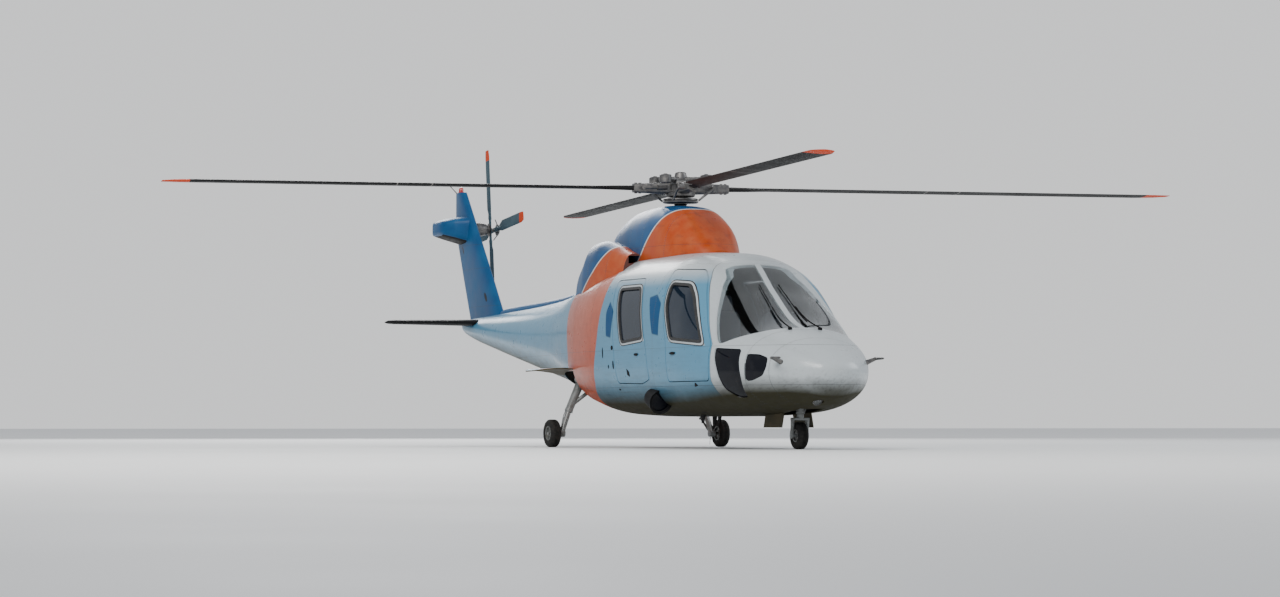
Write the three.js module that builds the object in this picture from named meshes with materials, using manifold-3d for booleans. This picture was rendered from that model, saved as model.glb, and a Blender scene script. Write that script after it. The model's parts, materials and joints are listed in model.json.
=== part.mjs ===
// Medium twin-engine helicopter with a retractable tricycle landing gear, standing parked.
// Millimetres, +Z up, the nose towards -Y, the port side towards +X, the ground at Z = 0.
// A "station" is a distance aft of the nose tip; the origin is on the ground in the middle of the outline.
import * as THREE from "three";
import { mergeVertices } from "three/addons/utils/BufferGeometryUtils.js";
import Module from "manifold-3d";

const wasm = await Module();
wasm.setup();

// Driving dimensions
const MAIN_ROTOR_RADIUS = 6705;
const TAIL_ROTOR_RADIUS = 1220;
const ROTOR_AXES_APART = 8075;
const MAST_STATION = 4725;
const TAIL_ROTOR_STATION = MAST_STATION + ROTOR_AXES_APART;
const ROTOR_TURN = 8.9; // the main blades stand this far round from fore-and-aft, degrees
const TAIL_ROTOR_TURN = 6; // the tail blades stand this far round from upright, degrees
const NOSE_WHEEL_STATION = 1165;
const WHEELBASE = 5000;
const MAIN_WHEEL_STATION = NOSE_WHEEL_STATION + WHEELBASE;
const MAIN_WHEEL_X = 1220;
const BLADE_CHORD = 390;
const BLADE_TIP_CHORD = 225;
const MAIN_TIP_LEAD = -40; // how far the tip's leading edge lies ahead of the blade's axis
const TAIL_TIP_LEAD = 40;
const TAIL_CHORD = 160;

// The outline runs from the forward blade's tip to the tail rotor's aft blade tip.
const turnOf = THREE.MathUtils.degToRad;
const tipReach = (radius, tipLead, turn) => radius * Math.cos(turnOf(turn)) + tipLead * Math.sin(turnOf(turn));
const FRONT_REACH = MAST_STATION - tipReach(MAIN_ROTOR_RADIUS, MAIN_TIP_LEAD, ROTOR_TURN);
const REAR_REACH = TAIL_ROTOR_STATION + tipReach(TAIL_ROTOR_RADIUS, TAIL_TIP_LEAD, TAIL_ROTOR_TURN);
const ORIGIN_STATION = (FRONT_REACH + REAR_REACH) / 2;
const aft = (station) => station - ORIGIN_STATION;

// Walls and gaps
const WALL = 40; // cabin walls and whole doors
const AFT_WALL = 22; // aft body and tail boom
const COWL_WALL = 12;
const SEAM = 1; // between fixed neighbours
const TOUCH = 0.3; // between a piece and what it rests on
const SKIN_CLEAR = 1; // between the skin and what is cut to lie on it
const DOOR_GAP = 10;
const PANE = 6;
const PANE_DEPTH = 14; // how far a pane lies under the skin

// Body sections: station, half width, lowest Z, highest Z, Z of the widest point,
// and how square the section is above and below that point (2 is an ellipse)
const BODY_SECTIONS = [
  [0, 20, 910, 950, 930, 2.0, 2.0],
  [80, 260, 740, 1070, 930, 2.0, 2.0],
  [300, 470, 600, 1205, 930, 2.1, 2.1],
  [750, 720, 490, 1375, 950, 2.2, 2.3],
  [1300, 910, 430, 1540, 980, 2.3, 2.5],
  [1900, 1010, 410, 1920, 1020, 2.5, 2.7],
  [2500, 1055, 400, 2340, 1100, 2.7, 2.9],
  [3200, 1065, 400, 2460, 1150, 3.0, 3.0],
  [4200, 1065, 400, 2480, 1200, 3.0, 3.0],
  [5200, 1065, 420, 2460, 1250, 3.0, 3.0],
  [5900, 1020, 500, 2420, 1280, 2.8, 2.8],
  [6600, 900, 640, 2300, 1320, 2.6, 2.6],
  [7400, 740, 800, 2120, 1400, 2.4, 2.4],
  [9000, 550, 1040, 1990, 1500, 2.2, 2.2],
  [11000, 370, 1360, 1920, 1640, 2.0, 2.0],
  [12200, 250, 1580, 1880, 1740, 2.0, 2.0],
  [12750, 80, 1740, 1840, 1790, 2.0, 2.0],
];
const NOSE_END = 620;
const CABIN_END = 5220;
const AFT_BODY_END = 7400;
const BOOM_END = 12750;
const RING_POINTS = 24;

// Side-view outlines, as [station, Z] corners
const SILL_Z = 770;
const EAVES_Z = 2290;
const COCKPIT_DOOR = [
  [1660, 820], [1650, 1270], [2330, 2110], [2480, 2215], [3060, 2235], [2960, 1800], [2790, 1330], [2740, 820],
];
const COCKPIT_PANE = [
  [1880, 1310], [2300, 1860], [2480, 2010], [2890, 2040], [2860, 1780], [2650, 1365],
];
const CABIN_DOOR = [
  [3300, 860], [3420, 1360], [3640, 1980], [3760, 2150], [4640, 2150], [4520, 1700], [4360, 820], [3560, 805],
];
const CABIN_PANE = [
  [3520, 1390], [3700, 1900], [3790, 2020], [4420, 2020], [4330, 1760], [4180, 1350],
];
const CHIN_PANE_FORE = [
  [662, 1090], [806, 1135], [992, 1142], [978, 982], [983, 818], [875, 820], [705, 880], [652, 985],
];
const CHIN_PANE_AFT = [
  [1097, 1200], [1299, 1210], [1562, 1225], [1547, 1082], [1480, 900], [1404, 715], [1252, 622], [1080, 622], [1039, 838],
];
const WINDSCREEN = [
  [960, 1560], [1120, 1420], [1480, 1270], [1560, 1290], [2230, 2110], [2370, 2225], [2370, 2700], [960, 2700],
];
const WINDSCREEN_POST = 38; // half width of the middle post

// Helpers: three.js shapes in, manifold solids out
const V = (x, y, z) => new THREE.Vector3(x, y, z);

function solid(geometry) {
  const bare = geometry.clone();
  bare.deleteAttribute("normal");
  bare.deleteAttribute("uv");
  const merged = mergeVertices(bare, 1e-3);
  const made = new wasm.Manifold(
    new wasm.Mesh({
      numProp: 3,
      vertProperties: new Float32Array(merged.attributes.position.array),
      triVerts: new Uint32Array(merged.index.array),
    }),
  );
  if (made.volume() <= 0) throw new Error("a shape is inside out");
  return made;
}

function geometryOf(made) {
  const { numProp, numVert, vertProperties, triVerts } = made.getMesh();
  const positions = new Float32Array(numVert * 3);
  for (let i = 0; i < numVert; i++) {
    positions.set(vertProperties.subarray(i * numProp, i * numProp + 3), i * 3);
  }
  const geometry = new THREE.BufferGeometry();
  geometry.setAttribute("position", new THREE.BufferAttribute(positions, 3));
  geometry.setIndex(new THREE.BufferAttribute(new Uint32Array(triVerts), 1));
  return geometry;
}

const join = (first, ...rest) => rest.reduce((sum, next) => sum.add(next), first);
const cut = (from, ...tools) => tools.reduce((left, tool) => left.subtract(tool), from);

// A closed skin over rings of equal point count, with a fan on each end.
function loft(rings) {
  const count = rings[0].length;
  const points = rings.flat();
  const faces = [];
  for (let r = 0; r + 1 < rings.length; r++) {
    for (let i = 0; i < count; i++) {
      const j = (i + 1) % count;
      const [a, b] = [r * count + i, r * count + j];
      faces.push(a, b, a + count, b, b + count, a + count);
    }
  }
  [0, rings.length - 1].forEach((r) => {
    const middle = rings[r].reduce((sum, p) => sum.add(p), V(0, 0, 0)).divideScalar(count);
    const centre = points.push(middle) - 1;
    for (let i = 0; i < count; i++) {
      const [a, b] = [r * count + i, r * count + ((i + 1) % count)];
      if (r === 0) faces.push(centre, b, a);
      else faces.push(centre, a, b);
    }
  });
  const build = (order) => {
    const geometry = new THREE.BufferGeometry().setFromPoints(points);
    geometry.setIndex(order);
    return geometry;
  };
  try {
    return solid(build(faces));
  } catch {
    return solid(build(faces.slice().reverse()));
  }
}

const box = (x0, x1, y0, y1, z0, z1) =>
  solid(new THREE.BoxGeometry(x1 - x0, y1 - y0, z1 - z0).translate((x0 + x1) / 2, (y0 + y1) / 2, (z0 + z1) / 2));

// A round bar from p to q, its ends of radius r0 and r1.
function bar(p, q, r0, r1 = r0, sides = 10) {
  const along = q.clone().sub(p);
  const geometry = new THREE.CylinderGeometry(r1, r0, along.length(), sides);
  geometry.applyQuaternion(new THREE.Quaternion().setFromUnitVectors(V(0, 1, 0), along.clone().normalize()));
  return solid(geometry.translate((p.x + q.x) / 2, (p.y + q.y) / 2, (p.z + q.z) / 2));
}

// A body of revolution about X: [x, radius] profile, a flat of the polygon pointing down.
function turned(profile, centre, sides) {
  const geometry = new THREE.LatheGeometry(profile.map(([x, r]) => new THREE.Vector2(r, x)), sides);
  geometry.rotateY(Math.PI / sides).rotateZ(-Math.PI / 2).translate(centre.x, centre.y, centre.z);
  return solid(geometry);
}

// Moves every edge of a closed outline inwards by a distance (outwards where negative).
function inset(outline, distance) {
  const turnSign = Math.sign(THREE.ShapeUtils.area(outline.map(([x, y]) => new THREE.Vector2(x, y))));
  return outline.map((corner, i) => {
    const before = outline[(i + outline.length - 1) % outline.length];
    const after = outline[(i + 1) % outline.length];
    const edge = (p, q) => new THREE.Vector2(q[0] - p[0], q[1] - p[1]).normalize();
    const [e0, e1] = [edge(before, corner), edge(corner, after)];
    const normal = (e) => new THREE.Vector2(-e.y, e.x).multiplyScalar(turnSign);
    const bisector = normal(e0).add(normal(e1)).normalize();
    const reach = distance / Math.max(0.3, bisector.dot(normal(e0)));
    return [corner[0] + bisector.x * reach, corner[1] + bisector.y * reach];
  });
}

// A closed outline with every corner rounded off.
function roundedShape(outline, radius) {
  const shape = new THREE.Shape();
  outline.forEach((corner, i) => {
    const before = outline[(i + outline.length - 1) % outline.length];
    const after = outline[(i + 1) % outline.length];
    const towards = (other) => {
      const [dx, dy] = [other[0] - corner[0], other[1] - corner[1]];
      const reach = Math.min(radius / Math.hypot(dx, dy), 0.45);
      return [corner[0] + dx * reach, corner[1] + dy * reach];
    };
    const [start, end] = [towards(before), towards(after)];
    if (i === 0) shape.moveTo(...start);
    else shape.lineTo(...start);
    shape.quadraticCurveTo(corner[0], corner[1], ...end);
  });
  shape.closePath();
  return shape;
}

// Prisms of an outline, seen from the side along X, from above along Z, or from the nose along Y.
const SIDE_AXES = new THREE.Matrix4().makeBasis(V(0, 1, 0), V(0, 0, 1), V(1, 0, 0));
const FRONT_AXES = new THREE.Matrix4().makeBasis(V(1, 0, 0), V(0, 0, 1), V(0, -1, 0));

function extruded(shape, depth) {
  return new THREE.ExtrudeGeometry(shape, { depth, bevelEnabled: false, curveSegments: 2 });
}
const sidePrism = (outline, x0, x1, radius = 0) =>
  solid(
    extruded(roundedShape(outline, radius || 0.01), x1 - x0)
      .applyMatrix4(SIDE_AXES)
      .translate(x0, -ORIGIN_STATION, 0),
  );
const planPrism = (outline, z0, z1, radius = 0.01) =>
  solid(extruded(roundedShape(outline, radius), z1 - z0).translate(0, -ORIGIN_STATION, z0));
const frontPrism = (outline, station0, station1, radius = 0.01) =>
  solid(
    extruded(roundedShape(outline, radius), station1 - station0)
      .applyMatrix4(FRONT_AXES)
      .translate(0, aft(station1), 0),
  );

// The slab of everything between two heights.
const FAR = 20000;
const level = (z0, z1) => box(-FAR, FAR, -FAR, FAR, z0, z1);
const onSide = (side, near, far) => (side > 0 ? [near, far] : [-far, -near]);

// The body's section at a station, smoothly between the rows of the table.
function sectionAt(station) {
  const rows = BODY_SECTIONS;
  let k = 0;
  while (k < rows.length - 2 && station >= rows[k + 1][0]) k++;
  const [a, b] = [rows[k], rows[k + 1]];
  const span = b[0] - a[0];
  const t = (station - a[0]) / span;
  const slope = (i, column) => {
    if (i <= 0 || i >= rows.length - 1) return NaN;
    const left = (rows[i][column] - rows[i - 1][column]) / (rows[i][0] - rows[i - 1][0]);
    const right = (rows[i + 1][column] - rows[i][column]) / (rows[i + 1][0] - rows[i][0]);
    return left * right <= 0 ? 0 : (2 * left * right) / (left + right);
  };
  return a.map((value, column) => {
    const chord = (b[column] - value) / span;
    const m0 = Number.isNaN(slope(k, column)) ? chord : slope(k, column);
    const m1 = Number.isNaN(slope(k + 1, column)) ? chord : slope(k + 1, column);
    return (
      value * (2 * t ** 3 - 3 * t ** 2 + 1) +
      m0 * span * (t ** 3 - 2 * t ** 2 + t) +
      b[column] * (3 * t ** 2 - 2 * t ** 3) +
      m1 * span * (t ** 3 - t ** 2)
    );
  });
}

// One ring of the body, a distance under its skin.
function bodyRing(station, depth) {
  const [, halfWidth, low, high, wide, above, below] = sectionAt(station);
  return Array.from({ length: RING_POINTS }, (_, i) => {
    const angle = (2 * Math.PI * (i + 0.5)) / RING_POINTS;
    const [c, s] = [Math.cos(angle), Math.sin(angle)];
    const power = 2 / (s > 0 ? above : below);
    const rise = s > 0 ? high - depth - wide : wide - low - depth;
    return V(
      Math.sign(c) * Math.max(halfWidth - depth, 4) * Math.abs(c) ** power,
      aft(station),
      wide + Math.sign(s) * Math.max(rise, 4) * Math.abs(s) ** power,
    );
  });
}

const BODY_STATIONS = [
  0, 60, 180, 380, 620, 950, 1300, 1700, 2100, 2500, 3100, 3900, 5220, 5900, 6600, 7400, 9000, 11000, 12200, 12600, 12750,
];
const bodyLoft = (depth, start, end) => {
  const inner = BODY_STATIONS.filter((station) => station > start + 1 && station < end - 1);
  return loft([start, ...inner, end].map((station) => bodyRing(station, depth)));
};

// Finishes
const finish = (color, roughness, metalness) => new THREE.MeshStandardMaterial({ color, roughness, metalness });
const FINISHES = {
  white: finish(0xb9c8d4, 0.35, 0.1),
  belly: finish(0x9a9c90, 0.5, 0.1),
  orange: finish(0xc8502a, 0.35, 0.1),
  blue: finish(0x1d5aa0, 0.35, 0.1),
  glass: finish(0x16202c, 0.08, 0.0),
  screen: finish(0xa8b4b8, 0.05, 0.0),
  black: finish(0x101012, 0.6, 0.1),
  rubber: finish(0x121212, 0.85, 0.0),
  steel: finish(0x85888a, 0.35, 0.8),
  dark_steel: finish(0x2c2c2a, 0.45, 0.7),
  primer: finish(0x6a5426, 0.6, 0.1),
  trim: finish(0x3a3d40, 0.8, 0.0),
  red: finish(0xb02418, 0.3, 0.0),
};
const helicopter = new THREE.Group();
function piece(name, made, material) {
  const mesh = new THREE.Mesh(geometryOf(made), FINISHES[material]);
  mesh.name = name;
  helicopter.add(mesh);
}

const SIDES = [["port", 1], ["starboard", -1]];
const mirrored = (side, outline) => outline.map(([x, y]) => [side * x, y]);
const bothSides = (outline, radius) => sidePrism(outline, -FAR, FAR, radius);

// Landing gear sizes, used by the bays too
const NOSE_TYRE = { radius: 165, width: 127, rim: 78 };
const MAIN_TYRE = { radius: 184, width: 140, rim: 96 };
const TYRE_SIDES = 24;
const hubHeight = (tyre) => tyre.radius * Math.cos(Math.PI / TYRE_SIDES);
const NOSE_BAY = { start: 790, end: 1760, halfWidth: 165, roof: 640 };
const MAIN_BAY = { start: 6010, end: 7080, inner: 330, roof: 1010 };

// Body shell, split where its panels meet
const cabinOuter = bodyLoft(0, NOSE_END, CABIN_END);
const cabinInner = bodyLoft(WALL, NOSE_END - 1, CABIN_END + 1);
const cabinWall = cut(cabinOuter, cabinInner);
const noseBay = box(
  -NOSE_BAY.halfWidth, NOSE_BAY.halfWidth, aft(NOSE_BAY.start), aft(NOSE_BAY.end), 0, NOSE_BAY.roof,
);

function nose() {
  const shell = cut(bodyLoft(0, 0, NOSE_END - SEAM), bodyLoft(WALL, 60, NOSE_END));
  piece("nose_cone", cut(shell, bar(V(-100, aft(430), 560), V(-100, aft(540), 640), 66, 66, 16)), "white");
  const lamp = bar(V(-100, aft(452), 574), V(-100, aft(520), 624), 62, 50, 16);
  piece("landing_light", lamp, "steel");
}

function cabin() {
  const doors = join(bothSides(COCKPIT_DOOR, 60), bothSides(CABIN_DOOR, 60));
  const chin = join(bothSides(CHIN_PANE_FORE, 40), bothSides(CHIN_PANE_AFT, 50));
  const screen = cut(
    bothSides(WINDSCREEN, 40),
    box(-WINDSCREEN_POST, WINDSCREEN_POST, -FAR, FAR, -FAR, FAR),
  );
  const belly = cut(cabinWall.intersect(level(-FAR, SILL_Z)), noseBay, chin);
  // Blade antennas under the belly, fused to it: middle, start, end, tip Z
  const antennas = [[-450, 2920, 3060, 315], [0, 3560, 3720, 290], [330, 4150, 4290, 315]].map(([x, start, end, tip]) =>
    sidePrism([[start, 455], [start + 45, tip], [end - 10, tip], [end, 455]], x - 8, x + 8),
  );
  const hollow = bodyLoft(WALL - 2, NOSE_END, CABIN_END);
  piece("belly_shell", join(belly, ...antennas.map((blade) => cut(blade, hollow))), "belly");
  const frame = cut(cabinWall.intersect(level(SILL_Z + SEAM, EAVES_Z)), doors, chin, screen);
  piece("cabin_frame", frame, "white");
  piece("cabin_roof", cut(cabinWall.intersect(level(EAVES_Z + SEAM, FAR)), screen), "white");

  const FLOOR = { top: 700, bottom: 660, start: 950, end: CABIN_END - 60 };
  const inside = bodyLoft(WALL + 4, FLOOR.start, FLOOR.end);
  piece("cabin_floor", inside.intersect(level(FLOOR.bottom, FLOOR.top)), "trim");
  const BULKHEAD = 30;
  const wall = bodyLoft(WALL + 2, CABIN_END - BULKHEAD, CABIN_END);
  piece("rear_bulkhead", wall, "trim");

  const pane = (outline, radius) =>
    cut(bodyLoft(PANE_DEPTH, NOSE_END, CABIN_END), bodyLoft(PANE_DEPTH + PANE, NOSE_END - 1, CABIN_END + 1)).intersect(
      bothSides(inset(outline, TOUCH * 2), radius),
    );
  const half = (side, near) => box(...onSide(side, near, FAR), -FAR, FAR, -FAR, FAR);
  SIDES.forEach(([name, side]) => {
    piece(`chin_pane_fore_${name}`, pane(CHIN_PANE_FORE, 40).intersect(half(side, 1)), "glass");
    piece(`chin_pane_aft_${name}`, pane(CHIN_PANE_AFT, 50).intersect(half(side, 1)), "glass");
    const glazing = pane(WINDSCREEN, 40).intersect(half(side, WINDSCREEN_POST + TOUCH));
    piece(`windscreen_${name}`, glazing, "screen");
  });

  // Doors are the full wall, with a pane in each
  [["cockpit_door", COCKPIT_DOOR, COCKPIT_PANE], ["cabin_door", CABIN_DOOR, CABIN_PANE]].forEach(
    ([name, door, window]) => {
      SIDES.forEach(([sideName, side]) => {
        const panel = cabinWall.intersect(bothSides(inset(door, DOOR_GAP), 60)).intersect(half(side, 300));
        piece(`${name}_${sideName}`, cut(panel, bothSides(window, 60)), "white");
        piece(`${name}_pane_${sideName}`, pane(window, 60).intersect(half(side, 300)), "glass");
      });
    },
  );
}

function aftBody() {
  const outer = bodyLoft(0, CABIN_END + SEAM, AFT_BODY_END);
  const inner = bodyLoft(AFT_WALL, CABIN_END, AFT_BODY_END + 1);
  const bulkhead = bodyLoft(AFT_WALL - 4, MAIN_BAY.start - 60, MAIN_BAY.start - 30).intersect(level(-FAR, 1300));
  const bays = SIDES.map(([, side]) =>
    box(...onSide(side, MAIN_BAY.inner, FAR), aft(MAIN_BAY.start), aft(MAIN_BAY.end), -FAR, MAIN_BAY.roof),
  );
  piece("aft_body", cut(join(cut(outer, inner), bulkhead), ...bays), "white");

  const boom = cut(bodyLoft(0, AFT_BODY_END + SEAM, BOOM_END), bodyLoft(AFT_WALL, AFT_BODY_END, 12300));
  // The tail drive shaft runs under a rounded cover along the boom's top
  const SPINE_ROWS = [[7520, 80, 2088, 2190, 2.4], [9000, 80, 1968, 2066, 2.4], [11000, 70, 1898, 1985, 2.4], [11300, 30, 1888, 1950, 2.4]];
  const spine = loft(SPINE_ROWS.map((row) => humpRing(row, 0, 0)));
  const skid = sidePrism([[12180, 1640], [12640, 1770], [12700, 1700], [12640, 1660]], -12, 12);
  piece("tail_boom", cut(join(boom, spine, skid), stabiliserSolid(1), finSolid(1)), "white");
}

// A wing-like ring: leading edge station, chord, thickness, with the plane set by place().
function wingRing(lead, chord, thickness, place) {
  const HALF = [[0, 0], [0.04, 0.3], [0.15, 0.46], [0.35, 0.5], [0.7, 0.32], [1, 0.03]];
  const upper = HALF.map(([along, up]) => place(lead + along * chord, up * thickness));
  const lower = HALF.slice(1).reverse().map(([along, up]) => place(lead + along * chord, -up * thickness));
  return [...upper, ...lower];
}

// Stabiliser: half span, leading edge station, chord, thickness
const STABILISER_Z = 1800;
const STABILISER_HALF = [[180, 11540, 860, 96], [1455, 11749, 414, 62], [1525, 11820, 300, 50]];
const STABILISER_ROWS = [
  ...STABILISER_HALF.map(([x, ...rest]) => [-x, ...rest]).reverse(),
  ...STABILISER_HALF,
];
function stabiliserSolid(grow = 0) {
  return loft(
    STABILISER_ROWS.map(([x, lead, chord, thick]) =>
      wingRing(lead - grow, chord + 2 * grow, thick + 3 * grow, (station, up) => V(x, aft(station), STABILISER_Z + up)),
    ),
  );
}

// Fin: height, leading edge station, chord, thickness
const FIN_ROWS = [[1760, 11080, 1440, 170], [2420, 11630, 1210, 160], [3240, 12345, 875, 150], [3800, 12830, 390, 110]];
function finSolid(grow = 0) {
  return loft(
    FIN_ROWS.map(([z, lead, chord, thick]) =>
      wingRing(lead - grow, chord + 2 * grow, thick + 2 * grow, (station, out) => V(out, aft(station), z)),
    ),
  );
}

function tailSurfaces() {
  piece("stabiliser", stabiliserSolid(), "black");
  const fairing = loft(
    [[-30, 12480, 640, 3010, 3430], [-250, 12560, 620, 3080, 3400], [-420, 12700, 500, 3140, 3350]].map(
      ([x, lead, chord, low, high]) =>
        [[0, 0.5], [0.25, 0], [0.9, 0], [1, 0.4], [0.9, 1], [0.25, 1]].map(([along, up]) =>
          V(x, aft(lead + along * chord), low + up * (high - low)),
        ),
    ),
  );
  const output = bar(V(20, aft(TAIL_ROTOR_STATION), TAIL_HUB.z), V(TAIL_HUB.x - 96, aft(TAIL_ROTOR_STATION), TAIL_HUB.z), 110, 70, 14);
  const whip = bar(V(0, aft(13140), 3782), V(0, aft(13520), 3945), 16, 9, 6);
  piece("fin", cut(join(finSolid(), fairing, output, whip), stabiliserSolid(1)), "blue");
  const top = FIN_ROWS[3];
  const beacon = bar(V(0, aft(top[1] + 170), top[0] + TOUCH), V(0, aft(top[1] + 170), top[0] + 90), 42, 26, 12);
  piece("fin_beacon", beacon, "red");
}

// A hump over the cabin roof: station, half width, foot Z, top Z, and the roundness of its section
function humpRing([station, halfWidth, foot, top, power], x, depth, points = 10) {
  return Array.from({ length: points + 1 }, (_, i) => {
    const angle = (Math.PI * i) / points;
    const [c, s] = [Math.cos(angle), Math.sin(angle)];
    return V(
      x + Math.sign(c) * (halfWidth - depth) * Math.abs(c) ** (2 / power),
      aft(station),
      foot + (top - foot - depth) * Math.abs(s) ** (2 / power),
    );
  });
}
function hump(rows, x) {
  const first = rows[0];
  const last = rows[rows.length - 1];
  const innerRows = rows.map((row) => [...row]);
  innerRows[0][0] = first[0] + COWL_WALL;
  innerRows[rows.length - 1][0] = last[0] - COWL_WALL;
  const outer = loft(rows.map((row) => humpRing(row, x, 0)));
  const inner = loft(innerRows.map((row) => humpRing([row[0], row[1], row[2] - 60, row[3], row[4]], x, COWL_WALL)));
  return cut(outer, inner);
}

// Rotor pylon over the mast, then an engine cowl on each side
const PYLON_ROWS = [
  [3420, 190, 2250, 2500, 2.4], [3650, 360, 2250, 2700, 2.6], [4000, 500, 2250, 2960, 2.9], [4400, 540, 2250, 3110, 3.1],
  [4800, 545, 2250, 3140, 3.2], [5300, 530, 2250, 3120, 3.2], [5800, 490, 2200, 3040, 3.0], [6300, 400, 2150, 2860, 2.6],
  [6900, 250, 2000, 2580, 2.3], [7500, 90, 1950, 2240, 2.0],
];
const COWL_X = 620;
const COWL_ROWS = [
  [4780, 175, 2100, 2510, 2.4], [5000, 215, 2050, 2560, 2.5], [5280, 260, 2000, 2640, 2.6], [5650, 285, 1950, 2705, 2.6],
  [5900, 275, 1930, 2685, 2.6], [6150, 230, 1900, 2540, 2.4], [6400, 175, 1880, 2400, 2.2],
];
const ENGINE = { start: 5250, end: 6000, inner: 570, outer: 750, low: 2150, high: 2500 };
const MAST_RADIUS = 75;

function upperDeck() {
  // Hulls grown by a hair, so that the cowls stand just clear of the roof and of each other
  const roof = bodyLoft(-SKIN_CLEAR, 3100, 9000);
  const pylonOuter = loft(PYLON_ROWS.map((row) => humpRing(row, 0, -TOUCH)));
  const mastHole = bar(V(0, aft(MAST_STATION), 2900), V(0, aft(MAST_STATION), 3300), MAST_RADIUS + 12, MAST_RADIUS + 12, 20);
  piece("pylon_fairing", cut(hump(PYLON_ROWS, 0), roof, mastHole), "orange");
  SIDES.forEach(([name, side]) => {
    const x = side * COWL_X;
    const intake = box(...onSide(side, COWL_X - 110, COWL_X + 90), aft(4700), aft(4830), 2380, 2480);
    const pipeEnds = [V(side * 645, aft(ENGINE.end - 60), 2400), V(x, aft(6480), 2290)];
    const outlet = bar(...pipeEnds, 84, 84, 16);
    piece(`engine_cowl_${name}`, cut(hump(COWL_ROWS, x), roof, pylonOuter, intake, outlet), "blue");
    const block = box(...onSide(side, ENGINE.inner, ENGINE.outer), aft(ENGINE.start), aft(ENGINE.end), ENGINE.low, ENGINE.high);
    const pipe = bar(...pipeEnds, 70, 74, 16);
    const bore = bar(V(side * 642, aft(ENGINE.end), 2388), V(x, aft(6500), 2286), 56, 60, 16);
    piece(`engine_${name}`, cut(join(block, cut(pipe, bore)), roof, pylonOuter), "dark_steel");
  });
}

// Rotors
const MAIN_HUB_Z = 3360;
const TAIL_HUB = { x: 430, z: 3240 };
const BLADE_ROOT = 640;

// Blade rows: distance from the mast, leading edge offset, chord, thickness
const MAIN_BLADE_ROWS = [
  [BLADE_ROOT, 62, 124, 64], [900, 70, 150, 56], [1180, 118, BLADE_CHORD, 42], [6300, 118, BLADE_CHORD, 40],
  [6560, 60, 332, 32], [MAIN_ROTOR_RADIUS, MAIN_TIP_LEAD, BLADE_TIP_CHORD, 18],
];
const TAIL_BLADE_ROWS = [
  [190, 36, 72, 26], [330, 60, TAIL_CHORD, 20], [1120, 60, TAIL_CHORD, 18], [TAIL_ROTOR_RADIUS, TAIL_TIP_LEAD, 130, 10],
];

function bladeSolid(rows) {
  return loft(
    rows.map(([reach, lead, chord, thick]) => wingRing(-lead, chord, thick, (back, up) => V(back, reach, up))),
  );
}

function mainRotor() {
  const centre = V(0, aft(MAST_STATION), MAIN_HUB_Z);
  const up = (z0, z1, r0, r1, sides = 12) => bar(V(0, 0, z0), V(0, 0, z1), r0, r1, sides);
  let head = join(
    up(-560, 60, MAST_RADIUS, MAST_RADIUS),
    up(-110, 110, 190, 165),
    up(100, 215, 95, 70),
    up(-190, -130, 235, 235, 16),
  );
  for (let k = 0; k < 4; k++) {
    const turn = turnOf(90 * k);
    const out = V(-Math.sin(turn), Math.cos(turn), 0);
    const side = V(Math.cos(turn), Math.sin(turn), 0);
    const at = (reach, across, z) => out.clone().multiplyScalar(reach).addScaledVector(side, across).setZ(z);
    const diagonal = at(1, 1, 0).normalize();
    const weight = (reach, z) => diagonal.clone().multiplyScalar(reach).setZ(z);
    head = join(
      head,
      bar(at(120, 0, 0), at(BLADE_ROOT - 2, 0, 0), 88, 62, 8),
      bar(at(420, 0, 0), at(420, 150, -10), 42, 30, 6),
      bar(at(420, 135, 10), at(200, 150, -165), 16, 16, 6),
      bar(at(170, -60, 10), at(520, -110, 0), 34, 34, 6),
      bar(at(520, -120, 0), at(520, -20, 0), 26, 26, 6),
      bar(weight(40, 110), weight(410, 110), 46, 34, 6),
      bar(weight(385, 55), weight(385, 165), 80, 80, 8),
    );
  }
  const turned = (made) =>
    made.rotate([0, 0, -ROTOR_TURN]).translate([centre.x, centre.y, centre.z]);
  piece("rotor_head", turned(head), "dark_steel");
  ["aft", "port", "forward", "starboard"].forEach((name, k) => {
    // Turning anticlockwise from above: the leading edge is on the side the blade moves towards
    piece(`main_blade_${name}`, turned(bladeSolid(MAIN_BLADE_ROWS).rotate([0, 0, -90 * k])), "black");
  });
}

function tailRotor() {
  const place = (made) => made.rotate([-TAIL_ROTOR_TURN, 0, 0]).translate([TAIL_HUB.x, aft(TAIL_ROTOR_STATION), TAIL_HUB.z]);
  const PAIR_OFFSET = 34;
  const hub = join(
    bar(V(-88, 0, 0), V(-60, 0, 0), 52, 52, 14),
    bar(V(-62, 0, 0), V(-PAIR_OFFSET - 22, 0, 0), 100, 100, 14),
    bar(V(-PAIR_OFFSET - 24, 0, 0), V(95, 0, 0), 20, 20, 12),
    bar(V(72, 0, 0), V(96, 0, 0), 90, 70, 14),
  );
  piece("tail_hub", place(hub), "dark_steel");
  [["tail_blades_upright", 0, -PAIR_OFFSET], ["tail_blades_level", 90, PAIR_OFFSET]].forEach(([name, turn, x]) => {
    // Blades are drawn pointing along Y with their chord along X, then stood in the rotor's plane
    const blade = bladeSolid(TAIL_BLADE_ROWS).rotate([0, 90, 0]);
    const beam = box(-16, 16, -200, 200, -34, 34);
    const pair = cut(join(blade, blade.rotate([180, 0, 0]), beam), bar(V(-60, 0, 0), V(60, 0, 0), 20 + TOUCH * 2, 20 + TOUCH * 2, 12));
    piece(name, place(pair.rotate([90 + turn, 0, 0]).translate([x, 0, 0])), "steel");
  });
}

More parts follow.
